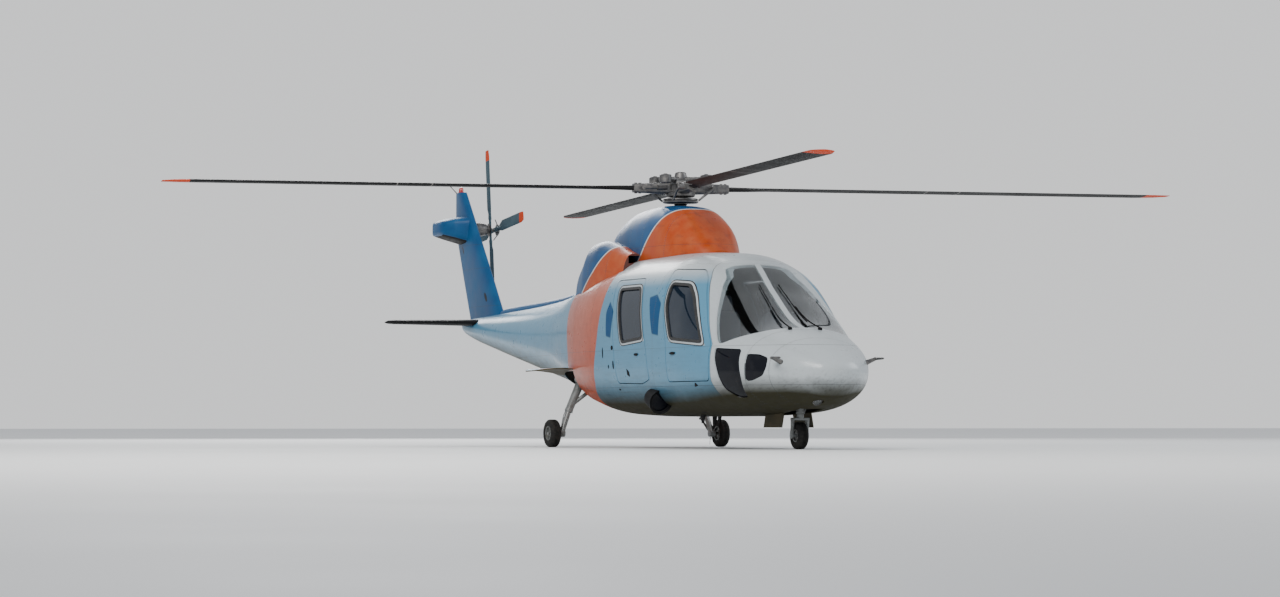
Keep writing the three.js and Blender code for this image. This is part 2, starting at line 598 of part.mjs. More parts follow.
// Landing gear
function wheel(name, tyre, centre) {
  const { radius: r, width: w, rim } = tyre;
  const half = w / 2;
  const carcass = turned(
    [
      [-half * 0.8, rim + 1], [-half, rim + 0.5 * (r - rim)], [-half * 0.8, r * 0.95], [-half * 0.45, r],
      [half * 0.45, r], [half * 0.8, r * 0.95], [half, rim + 0.5 * (r - rim)], [half * 0.8, rim + 1],
      [-half * 0.8, rim + 1],
    ],
    centre,
    TYRE_SIDES,
  );
  piece(`tyre_${name}`, carcass, "rubber");
  const disc = turned(
    [
      [-half * 0.6, AXLE_RADIUS + 6], [-half * 0.4, rim * 0.78], [-half * 0.8, rim], [half * 0.8, rim],
      [half * 0.4, rim * 0.78], [half * 0.6, AXLE_RADIUS + 6], [-half * 0.6, AXLE_RADIUS + 6],
    ],
    centre,
    TYRE_SIDES,
  );
  piece(`rim_${name}`, disc, "steel");
}
const AXLE_RADIUS = 22;

function noseGear() {
  const y = aft(NOSE_WHEEL_STATION);
  const z = hubHeight(NOSE_TYRE);
  const trail = 30;
  const steer = V(0, y - trail, 0);
  const FLOOR_UNDERSIDE = 660;
  const at = (dz, dy = 0) => V(steer.x, steer.y + dy, dz);
  const leg = join(
    bar(at(430), at(FLOOR_UNDERSIDE - TOUCH), 52, 52, 14),
    bar(V(-130, steer.y + 20, 580), V(130, steer.y + 20, 580), 26, 26, 10),
    bar(at(450, 20), at(FLOOR_UNDERSIDE - 20, 420), 20, 20, 8),
    box(-60, 60, steer.y + 380, steer.y + 470, FLOOR_UNDERSIDE - 50, FLOOR_UNDERSIDE - TOUCH),
  );
  piece("nose_leg", leg, "steel");
  const CROWN = 372;
  const arm = NOSE_TYRE.width / 2 + 34;
  const fork = join(
    bar(at(CROWN - 14), at(424), 44, 44, 14),
    box(-arm - 12, arm + 12, steer.y - 40, steer.y + 60, CROWN - 24, CROWN + 10),
    ...[-1, 1].map((side) => bar(V(side * arm, steer.y + 10, CROWN), V(side * arm, y, z), 26, 22, 8)),
    bar(V(-arm - 14, y, z), V(arm + 14, y, z), AXLE_RADIUS, AXLE_RADIUS, 12),
  );
  piece("nose_fork", fork, "steel");
  wheel("nose", NOSE_TYRE, V(0, y, z));
  // The bay's doors hang open along its sides
  SIDES.forEach(([name, side]) => {
    const hinge = side * (NOSE_BAY.halfWidth + 6);
    const outline = [[hinge, 455], [hinge + side * 14, 455], [hinge + side * 46, 262], [hinge + side * 32, 262]];
    const door = cut(frontPrism(outline, NOSE_BAY.start + 420, NOSE_BAY.end - 40), bodyLoft(-SKIN_CLEAR, NOSE_END, 2500));
    piece(`nose_gear_door_${name}`, door, "white");
  });
}

function mainGear() {
  const y = aft(MAIN_WHEEL_STATION);
  const z = hubHeight(MAIN_TYRE);
  SIDES.forEach(([name, side]) => {
    const p = (x, dy, height) => V(side * x, y + dy, height);
    const inboard = MAIN_WHEEL_X - MAIN_TYRE.width / 2 - 22;
    const leg = join(
      bar(p(800, -118, 900), p(800, 150, 900), 44, 44, 12),
      bar(p(800, 0, 900), p(990, 0, 470), 58, 52, 12),
      bar(p(985, 0, 480), p(inboard - 40, 0, z), 38, 36, 12),
      bar(p(inboard - 70, 0, z), p(MAIN_WHEEL_X + MAIN_TYRE.width / 2 - 10, 0, z), AXLE_RADIUS, AXLE_RADIUS, 12),
      bar(p(inboard - 80, 0, z), p(inboard, 0, z), 48, 48, 12),
      bar(p(560, -90, 860), p(965, 0, 540), 26, 26, 8),
      bar(p(560, -118, 860), p(560, -60, 860), 40, 40, 8),
      bar(p(960, 20, 520), p(985, 130, 380), 16, 16, 6),
      bar(p(985, 130, 380), p(inboard - 55, 20, z + 10), 16, 16, 6),
    );
    piece(`main_leg_${name}`, leg, "steel");
    wheel(name, MAIN_TYRE, V(side * MAIN_WHEEL_X, y, z));
    // The bay's curved door stands out from the body's side
    const DOOR = { thick: 16, reach: 810, foot: 950, rise: 80 };
    const steps = 6;
    const arc = (offset) =>
      Array.from({ length: steps + 1 }, (_, i) => {
        const t = i / steps;
        return [side * (DOOR_ROOT + DOOR.reach * t), DOOR.foot + offset + DOOR.rise * Math.sin(Math.PI * t * 0.8)];
      });
    const curved = frontPrism([...arc(0), ...arc(DOOR.thick).reverse()], 5900, 7400);
    const trimmed = planPrism(
      mirrored(side, [[600, 6000], [1190, 5980], [1400, 6290], [1448, 6560], [1270, 6930], [1010, 7330], [640, 7050]]),
      0, 2000,
    );
    const door = cut(curved.intersect(trimmed), bodyLoft(-SKIN_CLEAR, CABIN_END, 9000));
    piece(`main_gear_door_${name}`, door, "primer");
  });
}
const DOOR_ROOT = 640;

// Small outside pieces
function outfit() {
  SIDES.forEach(([name, side]) => {
    const root = V(side * 545, aft(490), 1030);
    const elbow = V(side * 680, aft(470), 1085);
    const probe = cut(
      join(bar(root, elbow, 34, 20, 8), bar(elbow.clone().add(V(0, 34, 0)), elbow.clone().add(V(0, -210, 0)), 18, 12, 8)),
      bodyLoft(-SKIN_CLEAR, 0, 950),
    );
    piece(`pitot_${name}`, probe, "dark_steel");
  });
  const lampCentre = V(-955, aft(3290), 605);
  const lamp = join(
    bar(lampCentre.clone().add(V(0, 120, 34)), lampCentre.clone().add(V(0, -140, -28)), 125, 155, 20),
    bar(lampCentre.clone().add(V(20, 0, 0)), V(-780, aft(3290), 680), 55, 55, 10),
  );
  piece("searchlight", cut(lamp, bodyLoft(-SKIN_CLEAR, 2500, 3900)), "black");
}

// Inside the cabin
function interior() {
  const FLOOR_TOP = 700 + TOUCH;
  const seat = (x, station, width) => {
    const [x0, x1] = [x - width / 2, x + width / 2];
    return join(
      box(x0 + 60, x1 - 60, aft(station + 60), aft(station + 400), FLOOR_TOP, FLOOR_TOP + 260),
      box(x0, x1, aft(station), aft(station + 480), FLOOR_TOP + 250, FLOOR_TOP + 390),
      box(x0, x1, aft(station + 430), aft(station + 560), FLOOR_TOP + 260, FLOOR_TOP + 1000),
      box(x - 130, x + 130, aft(station + 450), aft(station + 550), FLOOR_TOP + 990, FLOOR_TOP + 1190),
    );
  };
  SIDES.forEach(([name, side]) => piece(`pilot_seat_${name}`, seat(side * 400, 2050, 480), "trim"));
  piece("cabin_bench", seat(0, 4480, 1500), "trim");
  const panel = join(
    box(-560, 560, aft(1330), aft(1480), FLOOR_TOP + 420, FLOOR_TOP + 700),
    box(-150, 150, aft(1320), aft(1900), FLOOR_TOP, FLOOR_TOP + 430),
  );
  piece("instrument_panel", panel, "black");
}

nose();
cabin();
aftBody();
tailSurfaces();
upperDeck();
mainRotor();
tailRotor();
noseGear();
mainGear();
outfit();
interior();

export default helicopter;
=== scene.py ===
# %% [markdown]
# # A medium twin-engine helicopter, dressed
#
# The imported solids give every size, joint and place. This script lays finished surfaces over them:
# each is a function of two numbers, worked out with numpy, and each paint is a small node graph.
# All lengths are metres: +Z up, the nose towards -Y, the port side towards +X.

import json
import math

import bmesh
import bpy
import numpy as np
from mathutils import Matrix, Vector


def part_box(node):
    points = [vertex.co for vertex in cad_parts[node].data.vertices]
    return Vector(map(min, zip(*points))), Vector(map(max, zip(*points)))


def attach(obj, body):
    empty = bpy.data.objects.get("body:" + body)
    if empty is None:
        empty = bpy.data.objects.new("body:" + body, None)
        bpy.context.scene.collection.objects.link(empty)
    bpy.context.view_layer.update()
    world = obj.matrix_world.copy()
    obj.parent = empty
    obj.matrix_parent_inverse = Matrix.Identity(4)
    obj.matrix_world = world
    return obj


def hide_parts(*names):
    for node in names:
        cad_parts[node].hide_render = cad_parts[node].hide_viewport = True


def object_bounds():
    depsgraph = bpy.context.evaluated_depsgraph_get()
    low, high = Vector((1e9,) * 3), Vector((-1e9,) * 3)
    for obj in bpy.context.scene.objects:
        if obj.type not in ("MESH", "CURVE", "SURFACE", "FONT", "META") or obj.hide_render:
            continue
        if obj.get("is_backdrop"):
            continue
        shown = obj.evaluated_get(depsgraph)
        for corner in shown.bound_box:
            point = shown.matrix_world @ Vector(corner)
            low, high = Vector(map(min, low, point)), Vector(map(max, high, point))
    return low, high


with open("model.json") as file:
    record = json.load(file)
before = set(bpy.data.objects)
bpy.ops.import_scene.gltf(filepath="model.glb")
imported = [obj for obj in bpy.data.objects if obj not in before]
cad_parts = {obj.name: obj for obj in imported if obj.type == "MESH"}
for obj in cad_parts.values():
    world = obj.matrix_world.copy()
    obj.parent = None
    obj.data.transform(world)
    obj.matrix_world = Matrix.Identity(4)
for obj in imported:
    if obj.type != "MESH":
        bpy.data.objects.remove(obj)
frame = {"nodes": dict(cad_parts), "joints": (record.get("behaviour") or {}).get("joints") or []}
CAD_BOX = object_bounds()
NODES = frame["nodes"]
JOINTS = {joint["name"]: joint for joint in frame["joints"]}
print("the solids' box:", [[round(float(v), 3) for v in corner] for corner in CAD_BOX])

# %% [markdown]
# ## Driving dimensions
#
# A station is a distance aft of the nose tip. The mast stands at station 4.725, and the frame says
# where the mast is in the model, so the two together turn any station into a Y.

# %% Driving dimensions
MAST_STATION = 4.725
MAST_Y = JOINTS["main_rotor_turn"]["pos_m"][1]
ORIGIN_STATION = MAST_STATION - MAST_Y
WALL = 0.040
AFT_WALL = 0.022
DOOR_GAP = 0.010
SEAM = 0.001
NOSE_END = 0.620
CABIN_END = 5.220
AFT_BODY_END = 7.400
BOOM_END = 12.750
SILL_Z = 0.770
WAIST_Z = 1.245
EAVES_Z = 2.290
SIDES = (("port", 1), ("starboard", -1))


def aft(station):
    """Y of a station, or of an array of stations."""
    return station - ORIGIN_STATION


# Body sections: station, half width, lowest Z, highest Z, Z of the widest point,
# roundness above it and below it (2 is an ellipse, 3 is squarer)
BODY_SECTIONS = np.array([
    (0.00, 0.004, 0.927, 0.932, 0.930, 2.0, 2.0),
    (0.005, 0.065, 0.886, 0.965, 0.930, 2.0, 2.0),
    (0.02, 0.130, 0.842, 1.000, 0.930, 2.0, 2.0),
    (0.045, 0.195, 0.799, 1.035, 0.930, 2.0, 2.0),
    (0.08, 0.260, 0.755, 1.070, 0.930, 2.0, 2.0),
    (0.17, 0.356, 0.682, 1.137, 0.930, 2.05, 2.05),
    (0.30, 0.470, 0.600, 1.205, 0.930, 2.1, 2.1),
    (0.75, 0.720, 0.490, 1.375, 0.950, 2.2, 2.3),
    (1.30, 0.910, 0.430, 1.540, 0.980, 2.3, 2.5),
    (1.90, 1.010, 0.410, 1.920, 1.020, 2.5, 2.7),
    (2.50, 1.055, 0.400, 2.340, 1.100, 2.7, 2.9),
    (3.20, 1.065, 0.400, 2.460, 1.150, 3.0, 3.0),
    (4.20, 1.065, 0.400, 2.480, 1.200, 3.0, 3.0),
    (5.20, 1.065, 0.420, 2.460, 1.250, 3.0, 3.0),
    (5.90, 1.020, 0.500, 2.420, 1.280, 2.8, 2.8),
    (6.60, 0.900, 0.640, 2.300, 1.320, 2.6, 2.6),
    (7.40, 0.740, 0.800, 2.120, 1.400, 2.4, 2.4),
    (9.00, 0.550, 1.040, 1.990, 1.500, 2.2, 2.2),
    (11.0, 0.370, 1.360, 1.920, 1.640, 2.0, 2.0),
    (12.2, 0.250, 1.580, 1.880, 1.740, 2.0, 2.0),
    (12.75, 0.080, 1.740, 1.840, 1.790, 2.0, 2.0),
])
print("mast at Y", round(MAST_Y, 4), "so the origin is at station", round(ORIGIN_STATION, 4))

# %% [markdown]
# ## Camera, floor and light
#
# The picture was taken from far away with a long lens, from ahead and to starboard, so parallel edges
# stay nearly parallel. Here the machine is parked, so the camera goes down to floor level on the same
# bearing. Soft light comes from three big panels and from a pale sky, which the camera sees brighter than
# it shines, as a thin bright overcast looks behind a machine in its own shade.

# %% Camera and stage
CAMERA_AZIMUTH = math.radians(-23)
CAMERA_DISTANCE = 48.0
CAMERA_HEIGHT = 0.3
LENS_MM = 100.0
AIM = Vector((0.25, 0.6, 2.0))

camera_data = bpy.data.cameras.new("camera")
camera_data.lens = LENS_MM
camera_data.sensor_width = 36.0
camera_data.clip_end = 500.0
camera = bpy.data.objects.new("camera", camera_data)
bpy.context.scene.collection.objects.link(camera)
camera.location = (
    AIM.x + CAMERA_DISTANCE * math.sin(CAMERA_AZIMUTH),
    AIM.y - CAMERA_DISTANCE * math.cos(CAMERA_AZIMUTH),
    CAMERA_HEIGHT,
)
camera.rotation_euler = (AIM - camera.location).to_track_quat("-Z", "Y").to_euler()
bpy.context.scene.camera = camera
print("camera at", [round(v, 2) for v in camera.location])


def softbox(name, place, size, power, colour):
    """A square lamp panel that faces the middle of the machine."""
    data = bpy.data.lights.new(name, "AREA")
    data.shape = "SQUARE"
    data.size, data.energy, data.color = size, power, colour
    lamp = bpy.data.objects.new(name, data)
    bpy.context.scene.collection.objects.link(lamp)
    lamp.location = place
    lamp.rotation_euler = (Vector((0, 0, 1.5)) - Vector(place)).to_track_quat("-Z", "Y").to_euler()


softbox("key_light", (-16, -18, 22), 14, 7000, (1.0, 0.98, 0.95))
softbox("fill_light", (20, -8, 12), 12, 1800, (0.92, 0.96, 1.0))
softbox("rim_light", (4, 24, 14), 12, 4000, (1.0, 1.0, 1.0))

world = bpy.data.worlds.new("pale_sky")
world.use_nodes = True
sky = world.node_tree
lit = sky.nodes["Background"]
seen = sky.nodes.new("ShaderNodeBackground")
choice = sky.nodes.new("ShaderNodeMixShader")
ray = sky.nodes.new("ShaderNodeLightPath")
SKY_THAT_LIGHTS = (lit, (0.82, 0.85, 0.89, 1), 0.73)
SKY_THAT_SHOWS = (seen, (0.93, 0.94, 0.95, 1), 1.0)
for background, colour, strength in (SKY_THAT_LIGHTS, SKY_THAT_SHOWS):
    background.inputs["Color"].default_value = colour
    background.inputs["Strength"].default_value = strength
sky.links.new(ray.outputs["Is Camera Ray"], choice.inputs[0])
sky.links.new(lit.outputs[0], choice.inputs[1])
sky.links.new(seen.outputs[0], choice.inputs[2])
sky.links.new(choice.outputs[0], sky.nodes["World Output"].inputs[0])
bpy.context.scene.world = world

# %% [markdown]
# ## The body as a formula
#
# Between two rows of the table each number follows a cubic that keeps the rows' order, with the
# harmonic mean of the neighbouring slopes, so it never overshoots. Round a section the radius at a
# polar angle is the superellipse's: one over (|cos/width|^n + |sin/height|^n)^(1/n).

# %% Body formula


def monotone(rows, at):
    """The columns of a table at each value of its first, by a cubic that keeps the rows' order."""
    at = np.asarray(at, float)
    steps = np.diff(rows[:, 0])
    chords = np.diff(rows[:, 1:], axis=0) / steps[:, None]
    product, total = chords[:-1] * chords[1:], chords[:-1] + chords[1:]
    total = np.where(np.abs(total) < 1e-12, 1.0, total)
    slopes = np.vstack([chords[0], np.where(product > 0, 2 * product / total, 0.0), chords[-1]])
    k = np.clip(np.searchsorted(rows[:, 0], at, side="right") - 1, 0, len(rows) - 2)
    t = ((at - rows[k, 0]) / steps[k])[..., None]
    h = steps[k][..., None]
    value = (
        rows[k, 1:] * (2 * t**3 - 3 * t**2 + 1)
        + slopes[k] * h * (t**3 - 2 * t**2 + t)
        + rows[k + 1, 1:] * (3 * t**2 - 2 * t**3)
        + slopes[k + 1] * h * (t**3 - t**2)
    )
    return np.moveaxis(value, -1, 0)


def signed_power(value, power):
    """The size of each value to a power, with the value's own sign: the curve of a superellipse."""
    return np.sign(value) * np.abs(value) ** power


def section_at(station):
    """The six numbers of the body's section at each station."""
    return monotone(BODY_SECTIONS, station)


def body_point(station, angle, depth=0.0):
    """Points a depth under the skin: polar angle 0 is port, a quarter turn is up."""
    width, low, high, wide, above, below = section_at(station)
    c, s = np.cos(angle), np.sin(angle)
    power = np.where(s > 0, above, below)
    rise = np.maximum(np.where(s > 0, high - wide, wide - low) - depth, 0.004)
    across = np.maximum(width - depth, 0.004)
    reach = ((np.abs(c) / across) ** power + (np.abs(s) / rise) ** power) ** (-1.0 / power)
    return np.stack([reach * c, aft(station) + 0 * c, wide + reach * s], axis=-1)


def body_level(points, depth=0.0):
    """How far out each point lies: below 1 inside the body, 1 on its skin and above 1 outside."""
    x, y, z = np.moveaxis(np.asarray(points, float), -1, 0)
    width, low, high, wide, above, below = section_at(y + ORIGIN_STATION)
    power = np.where(z > wide, above, below)
    rise = np.maximum(np.where(z > wide, high - wide, wide - low) - depth, 0.004)
    across = np.maximum(width - depth, 0.004)
    return ((np.abs(x) / across) ** power + (np.abs(z - wide) / rise) ** power) ** (1.0 / power)


def body_normal(points):
    """The skin's outward direction: the gradient of body_level by central differences."""
    step = 0.002
    shifts = np.eye(3) * step
    gradient = np.stack([body_level(points + d) - body_level(points - d) for d in shifts], axis=-1)
    return gradient / np.maximum(np.linalg.norm(gradient, axis=-1, keepdims=True), 1e-9)


print("half width at the mast:", round(float(section_at(MAST_STATION)[0]), 3))

# %% [markdown]
# ## Turning grids into meshes
#
# A surface is a grid of points. One helper joins neighbouring rows and columns with quads, closes
# either direction where the grid comes round to itself, and puts the whole array into a mesh.

# %% Faces and mesh objects


def full_turn(count):
    """Angles of evenly spaced points round a circle."""
    return np.linspace(0, 2 * np.pi, count, endpoint=False)


def grid_faces(rows, columns, wrap_rows=False, wrap_columns=False, first=0):
    """Quads over a rows by columns grid of point numbers, as one (n, 4) array."""
    r = np.arange(rows if wrap_rows else rows - 1)
    c = np.arange(columns if wrap_columns else columns - 1)
    r, c = np.meshgrid(r, c, indexing="ij")
    r1, c1 = (r + 1) % rows, (c + 1) % columns
    quads = np.stack([r * columns + c, r * columns + c1, r1 * columns + c1, r1 * columns + c], axis=-1)
    return quads.reshape(-1, 4) + first


def new_mesh(name, points, faces):
    """A mesh object from an (n, 3) array of points and lists of faces, its object at the origin."""
    mesh = bpy.data.meshes.new(name)
    mesh.from_pydata(np.asarray(points, float).reshape(-1, 3).tolist(), [], list(faces))
    mesh.update()
    made = bpy.data.objects.new(name, mesh)
    bpy.context.scene.collection.objects.link(made)
    return made

# %% [markdown]
# Round parts are shaded smooth, and edges past an angle stay crisp. Small parts of one forging are
# joined into one mesh, so that a piece is one object with one finish.

# %% Shading, joining and deleting


def smooth(piece, degrees=35):
    """Smooth shading, with edges sharper than the angle kept crisp."""
    piece.data.shade_smooth()
    piece.data.set_sharp_from_angle(angle=math.radians(degrees))
    return piece


def discard(piece):
    """Deletes an object that was only a tool, with its mesh."""
    spare = piece.data
    bpy.data.objects.remove(piece)
    bpy.data.meshes.remove(spare)


def joined(name, pieces):
    """One object from several, and the spare ones are deleted."""
    made = bmesh.new()
    for piece in pieces:
        made.from_mesh(piece.data)
    mesh = bpy.data.meshes.new(name)
    made.to_mesh(mesh)
    made.free()
    for piece in pieces:
        discard(piece)
    whole = bpy.data.objects.new(name, mesh)
    bpy.context.scene.collection.objects.link(whole)
    return whole

# %% [markdown]
# Legs, hoses and links are rings carried along a path; hubs, tyres and lamps are a profile turned about
# an axis, as on a lathe. Both end as closed solids, which the cuts below need.

# %% Tubes, pipes and turned parts


def tube_grid(name, grid):
    """A closed tube: each row of the grid is a ring, and one face closes each end ring."""
    rows, columns = grid.shape[:2]
    points = grid.reshape(-1, 3)
    faces = grid_faces(rows, columns, wrap_columns=True).tolist()
    for row, turn in ((0, 1), (rows - 1, -1)):
        ring = (row * columns + np.arange(columns)).tolist()
        faces.append(ring[::turn])
    made = new_mesh(name, points, faces)
    outward(made)
    return made


def outward(piece):
    """Points every face of a closed mesh outwards."""
    mesh = bmesh.new()
    mesh.from_mesh(piece.data)
    bmesh.ops.recalc_face_normals(mesh, faces=mesh.faces)
    mesh.to_mesh(piece.data)
    mesh.free()
    return piece


def ring_frame(path):
    """Two directions across a path at each point: a fixed one less its share along the path, and
    the one square to both."""
    along = np.gradient(path, axis=0)
    along /= np.linalg.norm(along, axis=1, keepdims=True)
    start = np.array([0.0, 0.0, 1.0]) if abs(along[0, 2]) < 0.9 else np.array([1.0, 0.0, 0.0])
    first = start - along * (along @ start)[:, None]
    first /= np.linalg.norm(first, axis=1, keepdims=True)
    return first, np.cross(along, first)


def pipe(name, path, radius, sides=16):
    """A round bar along a path: rings of the given radius (one, or one a point) across it."""
    path = np.asarray(path, float)
    radius = np.broadcast_to(np.asarray(radius, float), len(path))
    first, second = ring_frame(path)
    angle = full_turn(sides)
    ring = np.cos(angle)[:, None] * first[:, None, :] + np.sin(angle)[:, None] * second[:, None, :]
    return tube_grid(name, path[:, None, :] + radius[:, None, None] * ring)


def turned(name, profile, centre, axis, sides=48):
    """A body of revolution: (along, radius) points carried round an axis through the centre.

    A profile that starts and ends on the axis makes a closed solid; any other is joined end to end
    into a ring with a hole.
    """
    profile = np.asarray(profile, float)
    axis = np.asarray(axis, float) / np.linalg.norm(axis)
    helper = np.array([0.0, 0.0, 1.0]) if abs(axis[2]) < 0.9 else np.array([1.0, 0.0, 0.0])
    first = np.cross(axis, helper)
    first /= np.linalg.norm(first)
    second = np.cross(axis, first)
    angle = full_turn(sides)
    around = np.cos(angle)[:, None] * first + np.sin(angle)[:, None] * second
    grid = centre + profile[:, 0, None, None] * axis + profile[:, 1, None, None] * around[None]
    on_axis = profile[0, 1] < 1e-9 and profile[-1, 1] < 1e-9
    faces = grid_faces(len(profile), sides, wrap_rows=not on_axis, wrap_columns=True)
    made = bmesh.new()
    flat = new_mesh(name, grid.reshape(-1, 3), faces.tolist())
    made.from_mesh(flat.data)
    bmesh.ops.remove_doubles(made, verts=made.verts, dist=1e-6)
    bmesh.ops.recalc_face_normals(made, faces=made.faces)
    made.to_mesh(flat.data)
    made.free()
    return flat

# %% [markdown]
# ## Cutting panels from the skin
#
# The real skin is one smooth shape, divided by straight seams. So a wall is made once from the body
# formula, and each panel is that wall cut by prisms of its outline in side view. Booleans keep the
# shape but spoil the shading, so afterwards every face that lies on the skin gets the exact normal
# of the formula, and the cut edges stay crisp.

# %% Outlines
FAR = 20.0
AROUND = 128
RING_PITCH = 0.05
# the depth of a cutter that stands just outside the skin, and the least cosine between a face's
# normal and the formula's where the face lies along the skin
PROUD = -0.001
ALONG_SKIN = 0.93


def rounded_outline(corners, radius, steps=6):
    """The outline with each corner replaced by a quadratic curve that starts a radius away from it."""
    corners = np.asarray(corners, float)
    before, after = np.roll(corners, 1, axis=0), np.roll(corners, -1, axis=0)

    def reach(other):
        span = other - corners
        length = np.linalg.norm(span, axis=1, keepdims=True)
        return corners + span * np.minimum(radius / length, 0.45)

    start, end = reach(before), reach(after)
    t = np.linspace(0, 1, steps + 1)[None, :, None]
    curve = (1 - t) ** 2 * start[:, None] + 2 * t * (1 - t) * corners[:, None] + t**2 * end[:, None]
    return curve.reshape(-1, 2)


def inset(corners, distance):
    """Every edge of a closed outline moved inwards by a distance, or outwards where it is negative."""
    corners = np.asarray(corners, float)
    nxt = np.roll(corners, -1, axis=0)
    sign = np.sign(np.sum(corners[:, 0] * nxt[:, 1] - nxt[:, 0] * corners[:, 1]))
    edge = nxt - corners
    edge /= np.linalg.norm(edge, axis=1, keepdims=True)
    normal = np.stack([-edge[:, 1], edge[:, 0]], axis=1) * sign
    bisector = normal + np.roll(normal, 1, axis=0)
    bisector /= np.linalg.norm(bisector, axis=1, keepdims=True)
    reach = distance / np.maximum(0.3, np.sum(bisector * normal, axis=1, keepdims=True))
    return corners + bisector * reach

# %% [markdown]
# A cutter is an outline carried straight through the body along one of the three axes.

# %% Cutters


def prism(outline, low, high, view):
    """A cutter: a closed outline carried straight from low to high.

    view "side" reads (station, Z) and runs along X, "plan" reads (X, station) and runs along Z,
    and "front" reads (X, Z) and runs along the stations.
    """
    u, v = np.asarray(outline, float).T
    ends = []
    for w in (low, high):
        w = np.full_like(u, w)
        columns = {"side": (w, aft(u), v), "plan": (u, aft(v), w), "front": (u, aft(w), v)}[view]
        ends.append(np.stack(columns, axis=1))
    count = len(u)
    faces = grid_faces(2, count, wrap_columns=True).tolist()
    faces += [list(range(count))[::-1], list(range(count, 2 * count))]
    return outward(new_mesh("cutter", np.vstack(ends), faces))


def through(outline):
    """A cutter of a side-view outline that runs right through the body."""
    return prism(outline, -FAR, FAR, "side")


def block(x0, x1, station0, station1, z0, z1):
    """A box between two corners, given by X, station and Z."""
    return prism([(x0, station0), (x1, station0), (x1, station1), (x0, station1)], z0, z1, "plan")

# %% [markdown]
# The same rings of the body formula make a wall, where they are joined to rings further in, and a
# solid, where they are capped.

# %% Walls and solids of the body


def body_rings(stations, depth):
    """Rings of body points, one at each station, a depth under the skin."""
    angle = full_turn(AROUND) + np.pi / AROUND
    s, a = np.meshgrid(stations, angle, indexing="ij")
    return body_point(s, a, depth)


def body_wall(start, end, depth_out, depth_in, along=RING_PITCH):
    """The closed wall between two depths of the body, from one station to another."""
    stations = np.unique(np.concatenate([
        np.linspace(start, end, max(3, int((end - start) / along))),
        BODY_SECTIONS[(BODY_SECTIONS[:, 0] > start) & (BODY_SECTIONS[:, 0] < end), 0],
    ]))
    outer, inner = body_rings(stations, depth_out), body_rings(stations, depth_in)
    rows, count = outer.shape[0], outer.shape[0] * outer.shape[1]
    faces = grid_faces(rows, AROUND, wrap_columns=True).tolist()
    faces += grid_faces(rows, AROUND, wrap_columns=True, first=count)[:, ::-1].tolist()
    for row, turn in ((0, 1), (rows - 1, -1)):
        ring = row * AROUND + np.arange(AROUND)
        rim = np.stack([ring, ring + count, np.roll(ring, -1) + count, np.roll(ring, -1)], axis=1)
        faces += rim[:, ::turn].tolist()
    return outward(new_mesh("wall", np.vstack([outer.reshape(-1, 3), inner.reshape(-1, 3)]), faces))


def body_solid(start, end, depth, along=RING_PITCH):
    """The body between two stations as one closed solid, a depth under its skin."""
    stations = np.linspace(start, end, max(3, int((end - start) / along)))
    return tube_grid("body", body_rings(stations, depth))

# %% [markdown]
# The cuts are booleans of closed solids. The manifold solver is quick and leaves no open edge.

# %% Cutting


def carve(piece, cutters, operation="DIFFERENCE"):
    """The piece less each cutter, or what it shares with each, applied to its mesh."""
    for cutter in cutters:
        boolean = piece.modifiers.new("cut", "BOOLEAN")
        boolean.object = cutter
        boolean.operation = operation
        boolean.solver = "MANIFOLD"
        graph = bpy.context.evaluated_depsgraph_get()
        mesh = bpy.data.meshes.new_from_object(piece.evaluated_get(graph))
        piece.modifiers.remove(boolean)
        old = piece.data
        piece.data = mesh
        bpy.data.meshes.remove(old)
        discard(cutter)
    return piece


def copy_of(piece, name):
    """A second object with its own copy of the mesh."""
    made = bpy.data.objects.new(name, piece.data.copy())
    bpy.context.scene.collection.objects.link(made)
    return made

# %% [markdown]
# A cut leaves long thin faces, whose own normals would show as streaks in a gloss. So each corner takes
# its normal from the formula instead, wherever the face lies along the surface.

# %% Normals from the formula


def mesh_points(piece):
    """The piece's points, as an (n, 3) array."""
    points = np.zeros(len(piece.data.vertices) * 3)
    piece.data.vertices.foreach_get("co", points)
    return points.reshape(-1, 3)


def face_values(piece, field):
    """The "normal" or "center" of each face, as an (n, 3) array."""
    values = np.zeros(len(piece.data.polygons) * 3)
    piece.data.polygons.foreach_get(field, values)
    return values.reshape(-1, 3)


def shade_by_formula(piece):
    """Corner normals: the formula's own on faces that lie along its surface, the face's own elsewhere."""
    mesh = piece.data
    mesh.shade_smooth()
    faces, corners = len(mesh.polygons), len(mesh.loops)
    vertex, totals = np.zeros(corners, int), np.zeros(faces, int)
    mesh.loops.foreach_get("vertex_index", vertex)
    mesh.polygons.foreach_get("loop_total", totals)
    own = face_values(piece, "normal")
    facing = np.sum(body_normal(face_values(piece, "center")) * own, axis=1)
    face = np.repeat(np.arange(faces), totals)
    normals = own[face]
    along = np.abs(facing[face]) > ALONG_SKIN
    exact = body_normal(mesh_points(piece))[vertex[along]]
    normals[along] = exact * np.sign(facing[face][along])[:, None]
    mesh.normals_split_custom_set(normals.tolist())
    return piece

# %% [markdown]
# ## Finishes as small node graphs
#
# Every finish here is paint, rubber, bare metal or glass, so a few helpers write most of it: one
# makes a node, one does arithmetic, one blends two colours and one turns a height into a bump. The
# Object coordinates are the model's own metres, so a stripe can be given by its station and height.

# %% Node helpers


